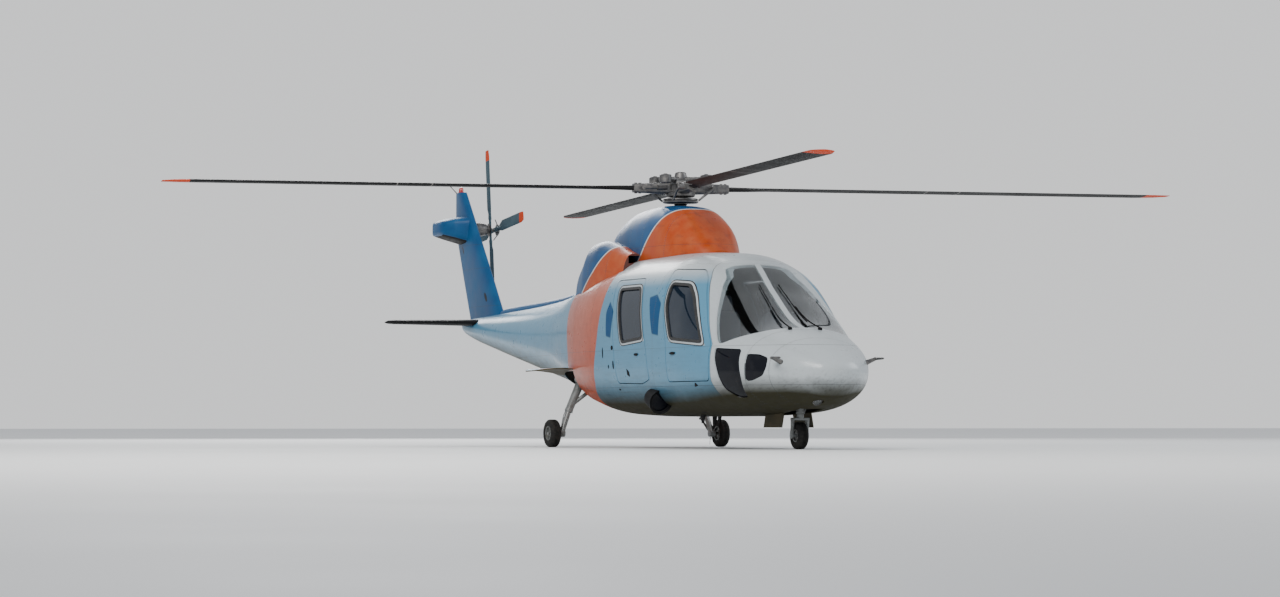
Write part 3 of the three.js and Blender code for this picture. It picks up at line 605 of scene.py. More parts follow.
class Graph:
    """A material's node tree with short words for the nodes that finishes are made of."""

    def __init__(self, name, **shader):
        self.material = bpy.data.materials.new(name)
        self.material.use_nodes = True
        self.tree = self.material.node_tree
        self.shader = self.tree.nodes["Principled BSDF"]
        for socket, value in shader.items():
            self.shader.inputs[socket.replace("_", " ")].default_value = value
        self.place = self.node("ShaderNodeTexCoord").outputs["Object"]
        parts = self.node("ShaderNodeSeparateXYZ", Vector=self.place)
        self.x, self.y, self.z = (parts.outputs[axis] for axis in "XYZ")

    def put(self, socket, value):
        """Links a node's output to a socket, or sets the socket to a number or colour."""
        if isinstance(value, bpy.types.NodeSocket):
            self.tree.links.new(value, socket)
        else:
            socket.default_value = value

    def node(self, kind, settings=None, **inputs):
        """A new node with its settings and inputs filled in."""
        made = self.tree.nodes.new(kind)
        for key, value in (settings or {}).items():
            setattr(made, key, value)
        for key, value in inputs.items():
            self.put(made.inputs[key], value)
        return made

    def math(self, operation, *values):
        """One sum on numbers or outputs."""
        made = self.node("ShaderNodeMath", {"operation": operation})
        for socket, value in zip(made.inputs, values):
            self.put(socket, value)
        return made.outputs[0]

    def plus(self, *values):
        """The first number plus the second."""
        return self.math("ADD", *values)

    def less(self, *values):
        """The first number less the second."""
        return self.math("SUBTRACT", *values)

    def times(self, *values):
        """The first number times the second."""
        return self.math("MULTIPLY", *values)

    def most(self, *values):
        """The larger of two numbers."""
        return self.math("MAXIMUM", *values)

    def reach(self, first, second):
        """The root of the sum of two squares."""
        return self.math("SQRT", self.plus(*(self.math("POWER", value, 2.0) for value in (first, second))))

    def station(self):
        """The station of a point, from its Y."""
        return self.plus(self.y, ORIGIN_STATION)

    def attribute(self, name):
        """A number that the mesh carries at each point."""
        return self.node("ShaderNodeAttribute", {"attribute_name": name}).outputs["Fac"]

    def mix(self, factor, first, second):
        """A blend of two colours: the first at 0, the second at 1."""
        made = self.node("ShaderNodeMix", {"data_type": "RGBA"})
        for socket, value in zip((made.inputs[0], made.inputs[6], made.inputs[7]), (factor, first, second)):
            self.put(socket, (*value, 1) if isinstance(value, tuple) and len(value) == 3 else value)
        return made.outputs[2]

    def noise(self, scale, detail=3.0, rough=0.55, stretch=None):
        """Cloudy noise from 0 to 1, the pattern stretched along the axes by the factors given."""
        place = self.place
        if stretch:
            place = self.node("ShaderNodeMapping", Vector=place, Scale=stretch).outputs[0]
        made = self.node("ShaderNodeTexNoise", Vector=place, Scale=scale, Detail=detail, Roughness=rough)
        return made.outputs["Fac"]

    def span(self, value, low, high, to_low=0.0, to_high=1.0):
        """The value carried from one range to another, and held at its ends."""
        made = self.node("ShaderNodeMapRange", {"clamp": True}, Value=value)
        for socket, number in zip(("From Min", "From Max", "To Min", "To Max"), (low, high, to_low, to_high)):
            made.inputs[socket].default_value = number
        return made.outputs[0]

    def curve(self, value, points):
        """A number read off straight lines through (value, result) points."""
        points = sorted(points)
        start, end = points[0][0], points[-1][0]
        bottom, top = min(result for _, result in points), max(result for _, result in points)
        made = self.node("ShaderNodeFloatCurve", Value=self.span(value, start, end))
        line = made.mapping.curves[0]
        while len(line.points) < len(points):
            line.points.new(0.5, 0.5)
        for handle, (at, result) in zip(line.points, points):
            handle.location = ((at - start) / (end - start), (result - bottom) / (top - bottom))
            handle.handle_type = "VECTOR"
        made.mapping.update()
        return self.span(made.outputs[0], 0.0, 1.0, bottom, top)

    def bump(self, height, distance, strength=0.5):
        """Tilts the surface by a height from 0 to 1, over a depth in metres."""
        made = self.node("ShaderNodeBump", Height=height)
        made.inputs["Distance"].default_value = distance
        made.inputs["Strength"].default_value = strength
        self.put(self.shader.inputs["Normal"], made.outputs[0])

    def finish(self, colour, roughness):
        """Gives the shader its colour and roughness, and hands the material over."""
        self.put(self.shader.inputs["Base Color"], colour)
        self.put(self.shader.inputs["Roughness"], roughness)
        return self.material

# %% [markdown]
# ## The livery
#
# One paint covers every outer panel, so colours run unbroken over seams and doors as a sprayed
# livery does: pale blue sides, whiter pillars and roof, narrow deep blue strips between the windows and
# an orange band behind the cabin door. The band is painted paler and pinker upwards, a painted reflection
# of the sky, and the skin that faces down is painted a near black olive, a painted shade. Seams are thin
# dark lines at given stations with rows of rivets beside them, oil streaks run aft, and a fine
# orange-peel bump breaks the gloss.

# %% The body's paint
SKY_BLUE = (0.08, 0.25, 0.39)
WORN_BLUE = (0.065, 0.21, 0.33)
OFF_WHITE = (0.46, 0.5, 0.52)
SHADED_BELLY = (0.034, 0.032, 0.017)
SHADED_BOOM_BELLY = (0.1, 0.098, 0.075)
ORANGE = (0.42, 0.055, 0.008)
SKY_SHEEN_ORANGE = (0.56, 0.2, 0.13)
GRIMY_ORANGE = (0.3, 0.045, 0.012)
ROYAL_BLUE = (0.001, 0.058, 0.18)
STRIP_BLUE = (0.0, 0.06, 0.17)
SEAM_LINE = (0.035, 0.04, 0.045)
SOOT = (0.035, 0.033, 0.03)
RIVET_SHADE = (0.12, 0.13, 0.14)
SEAM_HALF, SILL_SEAM_HALF, BORDER_LINE_HALF = 0.0022, 0.0018, 0.003
BODY_SEAMS = (0.62, 0.98, 3.18, 5.22, 5.95, 6.72, 7.4, 8.35, 9.3, 10.25, 11.2, 12.1)
RIVET_PITCH = 0.028
RIVET_OFFSET, DECK_RIVET_OFFSET = 0.014, 0.013
RIVET_CORE, RIVET_EDGE = 0.0028, 0.0044
# where the belly's painted shade starts: (station, how far down the skin faces there)
BELLY_SHADE_EDGE = [
    (0.0, 0.8), (0.15, 0.66), (0.5, 0.48), (1.0, 0.4), (2.4, 0.58), (5.0, 0.6), (7.4, 0.66), (12.8, 0.72),
]
# borders as (Z, station): the pale blue's front edge, then the orange band's two edges
BLUE_FRONT = [(0.4, 1.45), (0.82, 1.62), (1.27, 1.63), (2.11, 2.31), (2.3, 2.5)]
BAND_FRONT = [(0.4, 5.5), (0.83, 5.16), (1.41, 5.0), (1.89, 4.9), (2.5, 4.85)]
BAND_REAR = [(0.4, 6.8), (0.8, 6.35), (1.2, 6.25), (2.0, 6.45), (2.5, 6.6)]
COCKPIT_WINDOW = [(1.88, 1.31), (2.3, 1.86), (2.48, 2.01), (2.89, 2.04), (2.86, 1.78), (2.65, 1.365)]
CABIN_WINDOW = [(3.52, 1.39), (3.7, 1.9), (3.79, 2.02), (4.42, 2.02), (4.33, 1.76), (4.18, 1.35)]
FRAME_WIDTH, STRIP_EDGE_WIDTH = 0.05, 0.01
STRIPS = (
    [(3.01, 1.41), (3.2, 1.435), (3.39, 1.885), (3.19, 1.915), (3.02, 1.8)],
    [(4.545, 1.415), (4.69, 1.44), (4.73, 1.74), (4.66, 1.87), (4.5, 1.745)],
)

# %% [markdown]
# A mask is 1 where a mark lies and 0 elsewhere. Lines compare a number with a place, rivets are the
# distance to a row of points, and a window's frame is the distance to the edges of its outline.

# %% Masks for lines, rivets and windows


def seam_mask(g, value, places, width):
    """1 within a width of any of the places."""
    total = None
    for place in places:
        line = g.math("COMPARE", value, place, width)
        total = line if total is None else g.most(total, line)
    return total


def rivets(g, along, across, places, offset):
    """Rows of dots beside each seam: the distance from the nearest rivet's middle, made a step."""
    near = None
    for place in places:
        for side in (-1, 1):
            row = g.math("ABSOLUTE", g.less(along, place + side * offset))
            near = row if near is None else g.math("MINIMUM", near, row)
    phase = g.less(g.math("FRACT", g.math("DIVIDE", across, RIVET_PITCH)), 0.5)
    return g.span(g.reach(near, g.times(phase, RIVET_PITCH)), RIVET_CORE, RIVET_EDGE, 1.0, 0.0)


def polygon_mask(g, across, up, corners, grow=0.0, soft=0.003):
    """1 inside a convex outline: the least distance to its edges, counted inwards, made a step."""
    corners = np.asarray(corners, float)
    middle, least = corners.mean(axis=0), None
    for (ax, ay), (bx, by) in zip(corners, np.roll(corners, -1, axis=0)):
        nx, ny = by - ay, ax - bx
        length = math.copysign(math.hypot(nx, ny), (middle[0] - ax) * nx + (middle[1] - ay) * ny)
        nx, ny = nx / length, ny / length
        level = g.math("MULTIPLY_ADD", up, ny, -(ax * nx + ay * ny))
        inward = g.plus(g.times(across, nx), level)
        least = inward if least is None else g.math("SMOOTH_MIN", least, inward, 0.03)
    return g.span(least, -grow - soft, -grow + soft)

# %% [markdown]
# The colours are laid one over another in the order a painter would use: blue and white sides, the
# belly's painted shade, band, then dirt, seams and rivets. The matt belly and strips lose the clear coat.

# %% The livery itself


def body_paint():
    """The livery: each colour is blended over the last by a mask of station, height or slope; the slope mask
    lays painted shade on the belly.
    """
    g = Graph("body_paint", Coat_Roughness=0.12)
    station = g.station()
    down = g.attribute("down")
    cloud, fine = g.noise(1.6, 4.0), g.noise(9.0, 5.0)
    blue = g.mix(g.span(cloud, 0.35, 0.75, 0.0, 0.4), SKY_BLUE, WORN_BLUE)
    blue = g.mix(g.span(g.z, 2.02, 2.24), blue, OFF_WHITE)
    ahead = g.less(station, g.curve(g.z, BLUE_FRONT))
    side = g.mix(g.span(ahead, -0.004, 0.004), OFF_WHITE, blue)
    for window in (COCKPIT_WINDOW, CABIN_WINDOW):
        side = g.mix(polygon_mask(g, station, g.z, window, FRAME_WIDTH), side, OFF_WHITE)
    matt = 0.0
    for strip in STRIPS:
        edge = polygon_mask(g, station, g.z, strip, STRIP_EDGE_WIDTH)
        side = g.mix(g.times(edge, 0.5), side, SEAM_LINE)
        side = g.mix(polygon_mask(g, station, g.z, strip), side, STRIP_BLUE)
        matt = g.most(matt, edge)
    # painted shade: skin that faces down past the belly edge takes a near black olive, lighter on the boom
    edge = g.curve(station, BELLY_SHADE_EDGE)
    belly_shade = g.plus(g.less(down, edge), g.span(fine, 0.2, 0.8, -0.015, 0.015))
    under = g.span(belly_shade, -0.38, 0.22)
    belly = g.mix(g.span(station, 6.5, 8.0), SHADED_BELLY, SHADED_BOOM_BELLY)
    colour = g.mix(under, side, belly)
    front = g.less(station, g.curve(g.z, BAND_FRONT))
    rear = g.less(g.curve(g.z, BAND_REAR), station)
    band = g.times(g.span(front, -0.006, 0.006), g.span(rear, -0.006, 0.006))
    # painted reflection: the band turns paler and pinker upwards, where its gloss faces the sky
    orange = g.mix(g.span(g.z, 1.15, 1.9, 0.0, 0.35), ORANGE, SKY_SHEEN_ORANGE)
    orange = g.mix(g.span(fine, 0.35, 0.8, 0.0, 0.5), orange, GRIMY_ORANGE)
    colour = g.mix(band, colour, orange)
    streak = g.noise(5.0, 4.0, stretch=(6.0, 0.5, 6.0))
    soot = g.times(g.span(streak, 0.48, 0.75), g.span(down, -0.2, 0.9, 0.05, 0.6))
    colour = g.mix(soot, colour, SOOT)
    seams = seam_mask(g, station, BODY_SEAMS, SEAM_HALF)
    seams = g.most(seams, seam_mask(g, g.z, (SILL_Z, WAIST_Z), SILL_SEAM_HALF))
    seams = g.most(seams, g.math("COMPARE", ahead, 0.0, BORDER_LINE_HALF))
    colour = g.mix(g.times(seams, 0.8), colour, SEAM_LINE)
    dots = rivets(g, station, g.z, BODY_SEAMS, RIVET_OFFSET)
    colour = g.mix(g.times(dots, 0.35), colour, RIVET_SHADE)
    height = g.less(g.times(dots, 0.6), seams)
    g.bump(g.plus(height, g.times(g.noise(220.0, 2.0), 0.1)), 0.0015, 0.5)
    rough = g.plus(g.span(fine, 0.2, 0.8, 0.24, 0.38), g.times(under, 0.35))
    matt = g.most(under, matt)
    g.put(g.shader.inputs["Coat Weight"], g.span(matt, 0.0, 1.0, 0.22, 0.0))
    g.put(g.shader.inputs["Specular IOR Level"], g.span(matt, 0.0, 1.0, 0.38, 0.1))
    return g.finish(colour, rough)


BODY_PAINT = body_paint()
print("paint nodes:", len(BODY_PAINT.node_tree.nodes))

# %% [markdown]
# ## Paint for the upper deck, fin, blades and gear
#
# The pylon and cowls wear the band's orange in front, a thin pale line and royal blue behind, which the
# fin carries on. The main blades are matt black and the tail blades blue-grey, both with a red tip.
# The gear is light grey enamel that has collected dust and grease, for which a cloudy noise and a
# darkening near the ground stand.

# %% Paint of the upper deck
WARM_RED = (0.55, 0.06, 0.02)
PALE_LINE = (0.6, 0.62, 0.6)
PALE_LINE_WIDTH = 0.035
BORDER_SOFT = 0.004
DECK_SEAMS = (4.1, 4.78, 5.2, 5.75, 6.3)
DECK_SEAM_Z = 2.585
# as (Z, station)
PYLON_BORDER = [(2.0, 5.35), (2.5, 4.75), (3.2, 4.1)]
COWL_BORDER = [(1.9, 6.1), (2.3, 5.55), (2.8, 4.98)]
FIN_SEAMS = (2.05, 2.62, 2.98)
# middle's station and Z, half width, half height, and how far the oval leans aft in each metre up
FIN_VENTS = ((12.785, 2.918, 0.034, 0.062, 0.6), (11.727, 2.18, 0.045, 0.07, 0.6))
FIN_BLUE, PALE_FIN_BLUE, VENT_SHADE = (0.001, 0.062, 0.18), (0.006, 0.095, 0.23), (0.006, 0.006, 0.007)
MATT_BLACK, WORN_BLACK = (0.009, 0.009, 0.01), (0.024, 0.024, 0.025)
BLUE_GREY, WORN_GREY = (0.045, 0.08, 0.1), (0.085, 0.13, 0.155)


def deck_paint(name, border):
    """Orange ahead of a slanted border, a pale line along it, and royal blue behind."""
    g = Graph(name, Coat_Weight=0.0, Specular_IOR_Level=0.22)
    back = g.less(g.station(), g.curve(g.z, border))
    fine = g.noise(7.0, 5.0)
    orange = g.mix(g.span(fine, 0.35, 0.8), ORANGE, (0.45, 0.1, 0.03))
    blue = g.mix(g.span(fine, 0.35, 0.8), ROYAL_BLUE, (0.01, 0.095, 0.24))
    colour = g.mix(g.span(back, -BORDER_SOFT, BORDER_SOFT), orange, PALE_LINE)
    behind = g.less(back, PALE_LINE_WIDTH)
    colour = g.mix(g.span(behind, -BORDER_SOFT, BORDER_SOFT), colour, blue)
    soot = g.noise(3.0, 5.0, stretch=(4.0, 0.6, 4.0))
    colour = g.mix(g.span(soot, 0.55, 0.8, 0.0, 0.45), colour, (0.03, 0.03, 0.03))
    seams = seam_mask(g, g.station(), DECK_SEAMS, SEAM_HALF)
    seams = g.most(seams, seam_mask(g, g.z, (DECK_SEAM_Z,), SILL_SEAM_HALF))
    dots = rivets(g, g.station(), g.z, DECK_SEAMS, DECK_RIVET_OFFSET)
    colour = g.mix(g.times(seams, 0.8), colour, SEAM_LINE)
    colour = g.mix(g.times(dots, 0.5), colour, (0.2, 0.2, 0.2))
    g.bump(g.less(g.times(dots, 0.6), seams), 0.0015, 0.5)
    return g.finish(colour, g.span(fine, 0.2, 0.8, 0.25, 0.42))

# %% [markdown]
# Most finishes are two near colours in clouds with uneven gloss, because clean single colours look
# like plastic. The fin adds seams and the painted shade of its vents, and the gear adds grime towards
# the ground.

# %% Worn paint, fin and gear


def plain_paint(name, colour, other, roughness, scale=6.0, metallic=0.0, specular=0.5):
    """A worn paint or cast metal: two near colours in clouds, uneven gloss and a fine grain."""
    g = Graph(name, Metallic=metallic, Specular_IOR_Level=specular)
    cloud = g.noise(scale, 5.0)
    low, high = roughness
    g.bump(g.noise(120.0, 3.0), 0.0004, 0.4)
    return g.finish(g.mix(g.span(cloud, 0.35, 0.7), colour, other), g.span(cloud, 0.3, 0.75, low, high))


def fin_paint():
    """Deep blue with seams, and painted shade of the vents: black where (across / half width)^2 + (up / half
    height)^2 is under 1.
    """
    g = Graph("fin_paint", Specular_IOR_Level=0.25)
    cloud = g.noise(3.0, 5.0)
    colour = g.mix(g.span(cloud, 0.35, 0.7), FIN_BLUE, PALE_FIN_BLUE)
    seams = seam_mask(g, g.z, FIN_SEAMS, 0.002)
    dots = rivets(g, g.z, g.station(), FIN_SEAMS, DECK_RIVET_OFFSET)
    colour = g.mix(g.times(seams, 0.7), colour, SEAM_LINE)
    colour = g.mix(g.times(dots, 0.4), colour, (0.05, 0.06, 0.08))
    # painted shade: each vent opening is a black oval
    for station, z, along, tall, lean in FIN_VENTS:
        height = g.less(g.z, z)
        across = g.math("MULTIPLY_ADD", height, -lean, g.less(g.station(), station))
        level = g.reach(g.math("DIVIDE", across, along), g.math("DIVIDE", height, tall))
        colour = g.mix(g.span(level, 0.92, 1.04, 1.0, 0.0), colour, VENT_SHADE)
    g.bump(g.less(g.times(dots, 0.6), seams), 0.0012, 0.5)
    return g.finish(colour, g.span(cloud, 0.3, 0.75, 0.34, 0.52))


def gear_enamel():
    """Light grey enamel, grimy towards the ground and in blotches."""
    g = Graph("gear_enamel", Coat_Weight=0.2)
    cloud = g.noise(14.0, 5.0)
    grime = g.times(g.span(cloud, 0.45, 0.7), g.span(g.z, 0.9, 0.2, 0.35, 0.9))
    colour = g.mix(grime, (0.17, 0.18, 0.18), (0.04, 0.036, 0.028))
    g.bump(cloud, 0.0006, 0.3)
    return g.finish(colour, g.span(cloud, 0.3, 0.7, 0.32, 0.55))

# %% [markdown]
# A blade is painted by its distance from the rotor's axis, so one graph serves all four. Cabin glass
# is tinted dark: a blue tint of its own, darkened with painted shade of the dark cabin behind it, and
# the side panes pass only part of the light.

# %% Blades, glass, rubber and cloth


def blade_paint(name, tints, first_axis, axis_place, tip_from, lines=()):
    """Matt paint with a red tip: reach is the root of the sum of squares across the rotor's axis."""
    g = Graph(name, Specular_IOR_Level=0.08)
    x = g.less(g.x if first_axis == "x" else g.z, axis_place[0])
    y = g.less(g.y, axis_place[1])
    reach = g.math("SQRT", g.plus(g.times(x, x), g.times(y, y)))
    cloud = g.noise(3.0, 5.0)
    colour = g.mix(g.span(cloud, 0.3, 0.8), *tints)
    colour = g.mix(g.span(reach, tip_from - 0.003, tip_from + 0.003), colour, WARM_RED)
    for place, width in lines:
        colour = g.mix(g.math("COMPARE", reach, place, width), colour, (0.22, 0.21, 0.2))
    g.bump(g.noise(60.0, 3.0), 0.0006, 0.4)
    return g.finish(colour, g.span(cloud, 0.3, 0.8, 0.5, 0.7))


def glass(name, tint, transmission, roughness=0.02, gloss=0.6):
    """Cabin glass: a tint, more or less gloss, and faint dust that dulls it in clouds."""
    coat = {"Coat_Weight": gloss, "Coat_Roughness": 0.03, "Specular_IOR_Level": gloss * 0.8}
    g = Graph(name, Transmission_Weight=transmission, IOR=1.45, **coat)
    dust = g.noise(5.0, 5.0)
    colour = g.mix(g.span(dust, 0.5, 0.9, 0.0, 0.06), tint, (0.3, 0.3, 0.28))
    g.bump(g.noise(2.5, 2.0), 0.002, 0.08)
    return g.finish(colour, g.span(dust, 0.3, 0.8, roughness, roughness + 0.07))


def tyre_rubber():
    """Dull rubber with cloudy patches of dust."""
    g = Graph("tyre_rubber", Specular_IOR_Level=0.2)
    cloud = g.noise(24.0, 5.0)
    colour = g.mix(g.span(cloud, 0.4, 0.8, 0.0, 0.6), (0.012, 0.012, 0.012), (0.05, 0.045, 0.038))
    g.bump(g.noise(180.0, 4.0), 0.0012, 0.5)
    return g.finish(colour, g.span(cloud, 0.3, 0.8, 0.72, 0.9))


def woven(name, colour, other):
    """Upholstery cloth: two sets of fine waves crossed."""
    g = Graph(name, Sheen_Weight=0.3)
    waves = []
    for axis in "XZ":
        wave = g.node("ShaderNodeTexWave", {"bands_direction": axis}, Vector=g.place, Scale=180.0)
        waves.append(wave.outputs["Fac"])
    weave = g.times(*waves)
    g.bump(weave, 0.0006, 0.6)
    return g.finish(g.mix(weave, colour, other), 0.85)

# %% [markdown]
# Each finish is made once and shared by its pieces: first the paints, then rubber, metal and glass.

# %% All the finishes
PYLON_PAINT = deck_paint("pylon_paint", PYLON_BORDER)
COWL_PAINT = deck_paint("cowl_paint", COWL_BORDER)
MAST_XY = (0.0, MAST_Y)
TAIL_AXIS = JOINTS["tail_rotor_turn"]["pos_m"]
MAIN_TIP_FROM, TAIL_TIP_FROM = 6.38, 1.06
MAIN_BLADE_LINES = ((3.3, 0.007), (3.75, 0.007))
MAIN_BLADE_PAINT = blade_paint(
    "main_blade_paint", (MATT_BLACK, WORN_BLACK), "x", MAST_XY, MAIN_TIP_FROM, MAIN_BLADE_LINES
)
TAIL_BLADE_PAINT = blade_paint(
    "tail_blade_paint", (BLUE_GREY, WORN_GREY), "z", (TAIL_AXIS[2], TAIL_AXIS[1]), TAIL_TIP_FROM
)
GEAR_ENAMEL = gear_enamel()
TINTED_GLASS = glass("tinted_glass", (0.01, 0.022, 0.042), 0.4, gloss=0.3)
# painted shade: near black glass for the dark space behind the chin panes and the searchlight's face
DARK_GLASS = glass("dark_glass", (0.003, 0.004, 0.008), 0.1, gloss=0.15)
CLEAR_GLASS = glass("clear_glass", (0.8, 0.86, 0.88), 1.0)
RUBBER = plain_paint("seal_rubber", (0.012, 0.012, 0.013), (0.035, 0.034, 0.033), (0.5, 0.75), 20.0)
LINING = plain_paint("cabin_lining", (0.34, 0.34, 0.33), (0.26, 0.26, 0.25), (0.6, 0.8), 3.0)
FIN_PAINT = fin_paint()
DARK_PAINT = plain_paint(
    "black_paint", (0.005, 0.005, 0.006), (0.016, 0.016, 0.017), (0.5, 0.72), 4.0, specular=0.08
)
DARK_STEEL = plain_paint(
    "dark_steel", (0.1, 0.1, 0.105), (0.22, 0.21, 0.2), (0.35, 0.6), 18.0, metallic=0.85
)
BRIGHT_STEEL = plain_paint(
    "bright_steel", (0.36, 0.36, 0.35), (0.24, 0.23, 0.22), (0.22, 0.4), 20.0, metallic=1.0
)
PRIMER = plain_paint(
    "bay_primer", (0.04, 0.036, 0.018), (0.085, 0.068, 0.036), (0.5, 0.75), 8.0, specular=0.25
)
BAY_SHADOW = plain_paint("bay_shadow_paint", (0.014, 0.014, 0.013), (0.035, 0.033, 0.028), (0.6, 0.85), 6.0)
WHEEL_METAL = plain_paint(
    "wheel_metal", (0.24, 0.25, 0.25), (0.12, 0.115, 0.1), (0.35, 0.6), 30.0, metallic=0.6
)
TRIM = plain_paint("trim_plastic", (0.06, 0.06, 0.062), (0.1, 0.1, 0.1), (0.5, 0.75), 12.0)
RED_LENS = glass("red_lens", (0.55, 0.01, 0.008), 0.4, 0.08)
TYRE = tyre_rubber()
SEAT_CLOTH = woven("seat_cloth", (0.045, 0.055, 0.075), (0.09, 0.1, 0.12))
print("finishes:", len(bpy.data.materials))

# %% [markdown]
# ## The cabin shell
#
# The lower skin, the side frame and the roof are three pieces on the real machine too, riveted along
# the sill and the eaves. Doors and windows are holes with rounded corners, the same in side view on
# both sides, and each door panel is the very wall that its hole leaves, less a gap all round.

# %% Openings in side view
COCKPIT_DOOR = [
    (1.66, 0.82), (1.65, 1.27), (2.33, 2.11), (2.48, 2.215),
    (3.06, 2.235), (2.96, 1.8), (2.79, 1.33), (2.74, 0.82),
]
CABIN_DOOR = [
    (3.3, 0.86), (3.42, 1.36), (3.64, 1.98), (3.76, 2.15),
    (4.64, 2.15), (4.52, 1.7), (4.36, 0.82), (3.56, 0.805),
]
CHIN_PANE_FORE = [
    (0.662, 1.09), (0.806, 1.135), (0.992, 1.142), (0.978, 0.982),
    (0.983, 0.818), (0.875, 0.82), (0.705, 0.88), (0.652, 0.985),
]
CHIN_PANE_AFT = [
    (1.097, 1.2), (1.299, 1.21), (1.562, 1.225), (1.547, 1.082), (1.48, 0.9),
    (1.404, 0.715), (1.252, 0.622), (1.08, 0.622), (1.039, 0.838),
]
WINDSCREEN = [
    (0.96, 1.56), (1.12, 1.42), (1.48, 1.27), (1.56, 1.29),
    (2.23, 2.11), (2.37, 2.225), (2.37, 2.7), (0.96, 2.7),
]
WINDSCREEN_POST = 0.038
OPENINGS = {
    "cockpit_door": (COCKPIT_DOOR, 0.06),
    "cabin_door": (CABIN_DOOR, 0.06),
    "chin_fore": (CHIN_PANE_FORE, 0.04),
    "chin_aft": (CHIN_PANE_AFT, 0.05),
    "windscreen": (WINDSCREEN, 0.04),
}
WINDOWS = {"cockpit_door": (COCKPIT_WINDOW, 0.06), "cabin_door": (CABIN_WINDOW, 0.06)}


def opening(name):
    """A cutter of one opening's rounded outline."""
    outline, radius = OPENINGS[name]
    return through(rounded_outline(outline, radius))


def window_post():
    """The middle of the windscreen, kept as a post."""
    return block(-WINDSCREEN_POST, WINDSCREEN_POST, -1, 4, 1, 3)


def screen_cutter():
    """The windscreen's prism, less the post between its halves."""
    return carve(opening("windscreen"), [window_post()])

# %% Shell panels
NOSE_BAY = {"start": 0.79, "end": 1.76, "half_width": 0.165, "roof": 0.64}
MAIN_BAY = {"start": 6.01, "end": 7.08, "inner": 0.33, "roof": 1.01}


def slab(z0, z1):
    """Everything between two heights."""
    return block(-FAR, FAR, -FAR, FAR, z0, z1)


def nose_bay_cutter():
    """The box of the nose wheel's bay, open below."""
    bay = NOSE_BAY
    return block(-bay["half_width"], bay["half_width"], bay["start"], bay["end"], 0, bay["roof"])


cabin_wall = body_wall(NOSE_END, CABIN_END, 0.0, WALL)
belly = carve(copy_of(cabin_wall, "belly_skin"), [slab(-1, SILL_Z)], "INTERSECT")
carve(belly, [nose_bay_cutter(), opening("chin_fore"), opening("chin_aft")])
side_frame = carve(copy_of(cabin_wall, "cabin_side_skin"), [slab(SILL_Z + SEAM, EAVES_Z)], "INTERSECT")
carve(side_frame, [opening(name) for name in ("cockpit_door", "cabin_door", "chin_fore", "chin_aft")])
carve(side_frame, [screen_cutter()])
roof = carve(copy_of(cabin_wall, "cabin_roof_skin"), [slab(EAVES_Z + SEAM, 3)], "INTERSECT")
carve(roof, [screen_cutter()])
for panel in (belly, side_frame, roof):
    print(panel.name, len(panel.data.polygons), "faces")

# %% [markdown]
# ## Riding, replacing and dressing
#
# Each finished piece rides on one moving body, takes one of the record's finishes and stands for the
# solids it covers, and one call says all three. Panels of the skin are also marked, point by point,
# with how far they face down, because the belly's painted shade starts where they do.

# %% Dress a piece


def dress(piece, body, nodes=(), materials=()):
    """Gives a piece its materials, the body that carries it, its finish and the solids it stands for."""
    piece.data.materials.clear()
    for material in materials:
        piece.data.materials.append(material)
    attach(piece, body)
    if nodes:
        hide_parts(*nodes)
    print(f"{piece.name}: {len(piece.data.polygons)} faces, on {body}")
    return piece


def mark_down(piece):
    """Stores at each point how far the skin there faces down: 1 straight down, 0 level, -1 straight up."""
    layer = piece.data.attributes.new("down", "FLOAT", "POINT")
    layer.data.foreach_set("value", -body_normal(mesh_points(piece))[:, 2])


def second_material(piece, chosen):
    """Gives the chosen faces the piece's second material."""
    piece.data.polygons.foreach_set("material_index", chosen.astype(np.int32))


def line_inside(piece):
    """Gives the second material to faces that look into the cabin, against the formula's normal."""
    facing = np.sum(body_normal(face_values(piece, "center")) * face_values(piece, "normal"), axis=1)
    second_material(piece, facing < -0.6)


def skin_panel(piece, body, nodes):
    """A cut of the body's wall, painted outside and lined inside."""
    shade_by_formula(piece)
    mark_down(piece)
    dress(piece, body, nodes, (BODY_PAINT, LINING))
    line_inside(piece)


skin_panel(belly, "airframe", ["belly_shell"])
skin_panel(side_frame, "airframe", ["cabin_frame"])
skin_panel(roof, "airframe", ["cabin_roof"])

# %% [markdown]
# ## Doors and glass
#
# A door is the wall inside its opening, smaller by the gap, with its window cut out. Round each
# window lies a black rubber channel that holds the pane, and the pane itself follows the body's
# curve a little way under the skin, so it is one more surface from the same formula.

# %% Doors
pane_wall = body_wall(NOSE_END, CABIN_END, 0.014, 0.02)
seal_wall = body_wall(NOSE_END, CABIN_END, -0.0035, 0.022)
PANE_GAP = 0.0006
# how far outside and inside the window's outline each rubber line reaches
SEAL_EDGES = (0.026, 0.01)
OUTER_LINE_EDGES = (0.06, -0.05)


def one_side(side, near=0.3):
    """Everything on one side of the middle, from a distance out."""
    return block(*sorted((side * near, side * FAR)), -FAR, FAR, -FAR, FAR)


def ring_cutters(outline, radius, grow, shrink):
    """Prisms of an outline grown outwards, and of the same outline shrunk inwards."""
    outer = rounded_outline(inset(outline, -grow), radius + grow)
    inner = rounded_outline(inset(outline, shrink), max(radius - shrink, 0.01))
    return through(outer), through(inner)


def pane(name, outline, radius, side, near=0.3):
    """A pane a little under the skin, filling one opening."""
    edge = through(rounded_outline(inset(outline, PANE_GAP), radius))
    made = carve(copy_of(pane_wall, name), [edge], "INTERSECT")
    carve(made, [one_side(side, near)], "INTERSECT")
    return shade_by_formula(made)


def seal(name, outline, radius, side, grow, shrink):
    """A rubber channel round one opening, standing just proud of the skin."""
    outer, inner = ring_cutters(outline, radius, grow, shrink)
    made = carve(copy_of(seal_wall, name), [outer], "INTERSECT")
    carve(made, [inner])
    carve(made, [one_side(side)], "INTERSECT")
    return shade_by_formula(made)


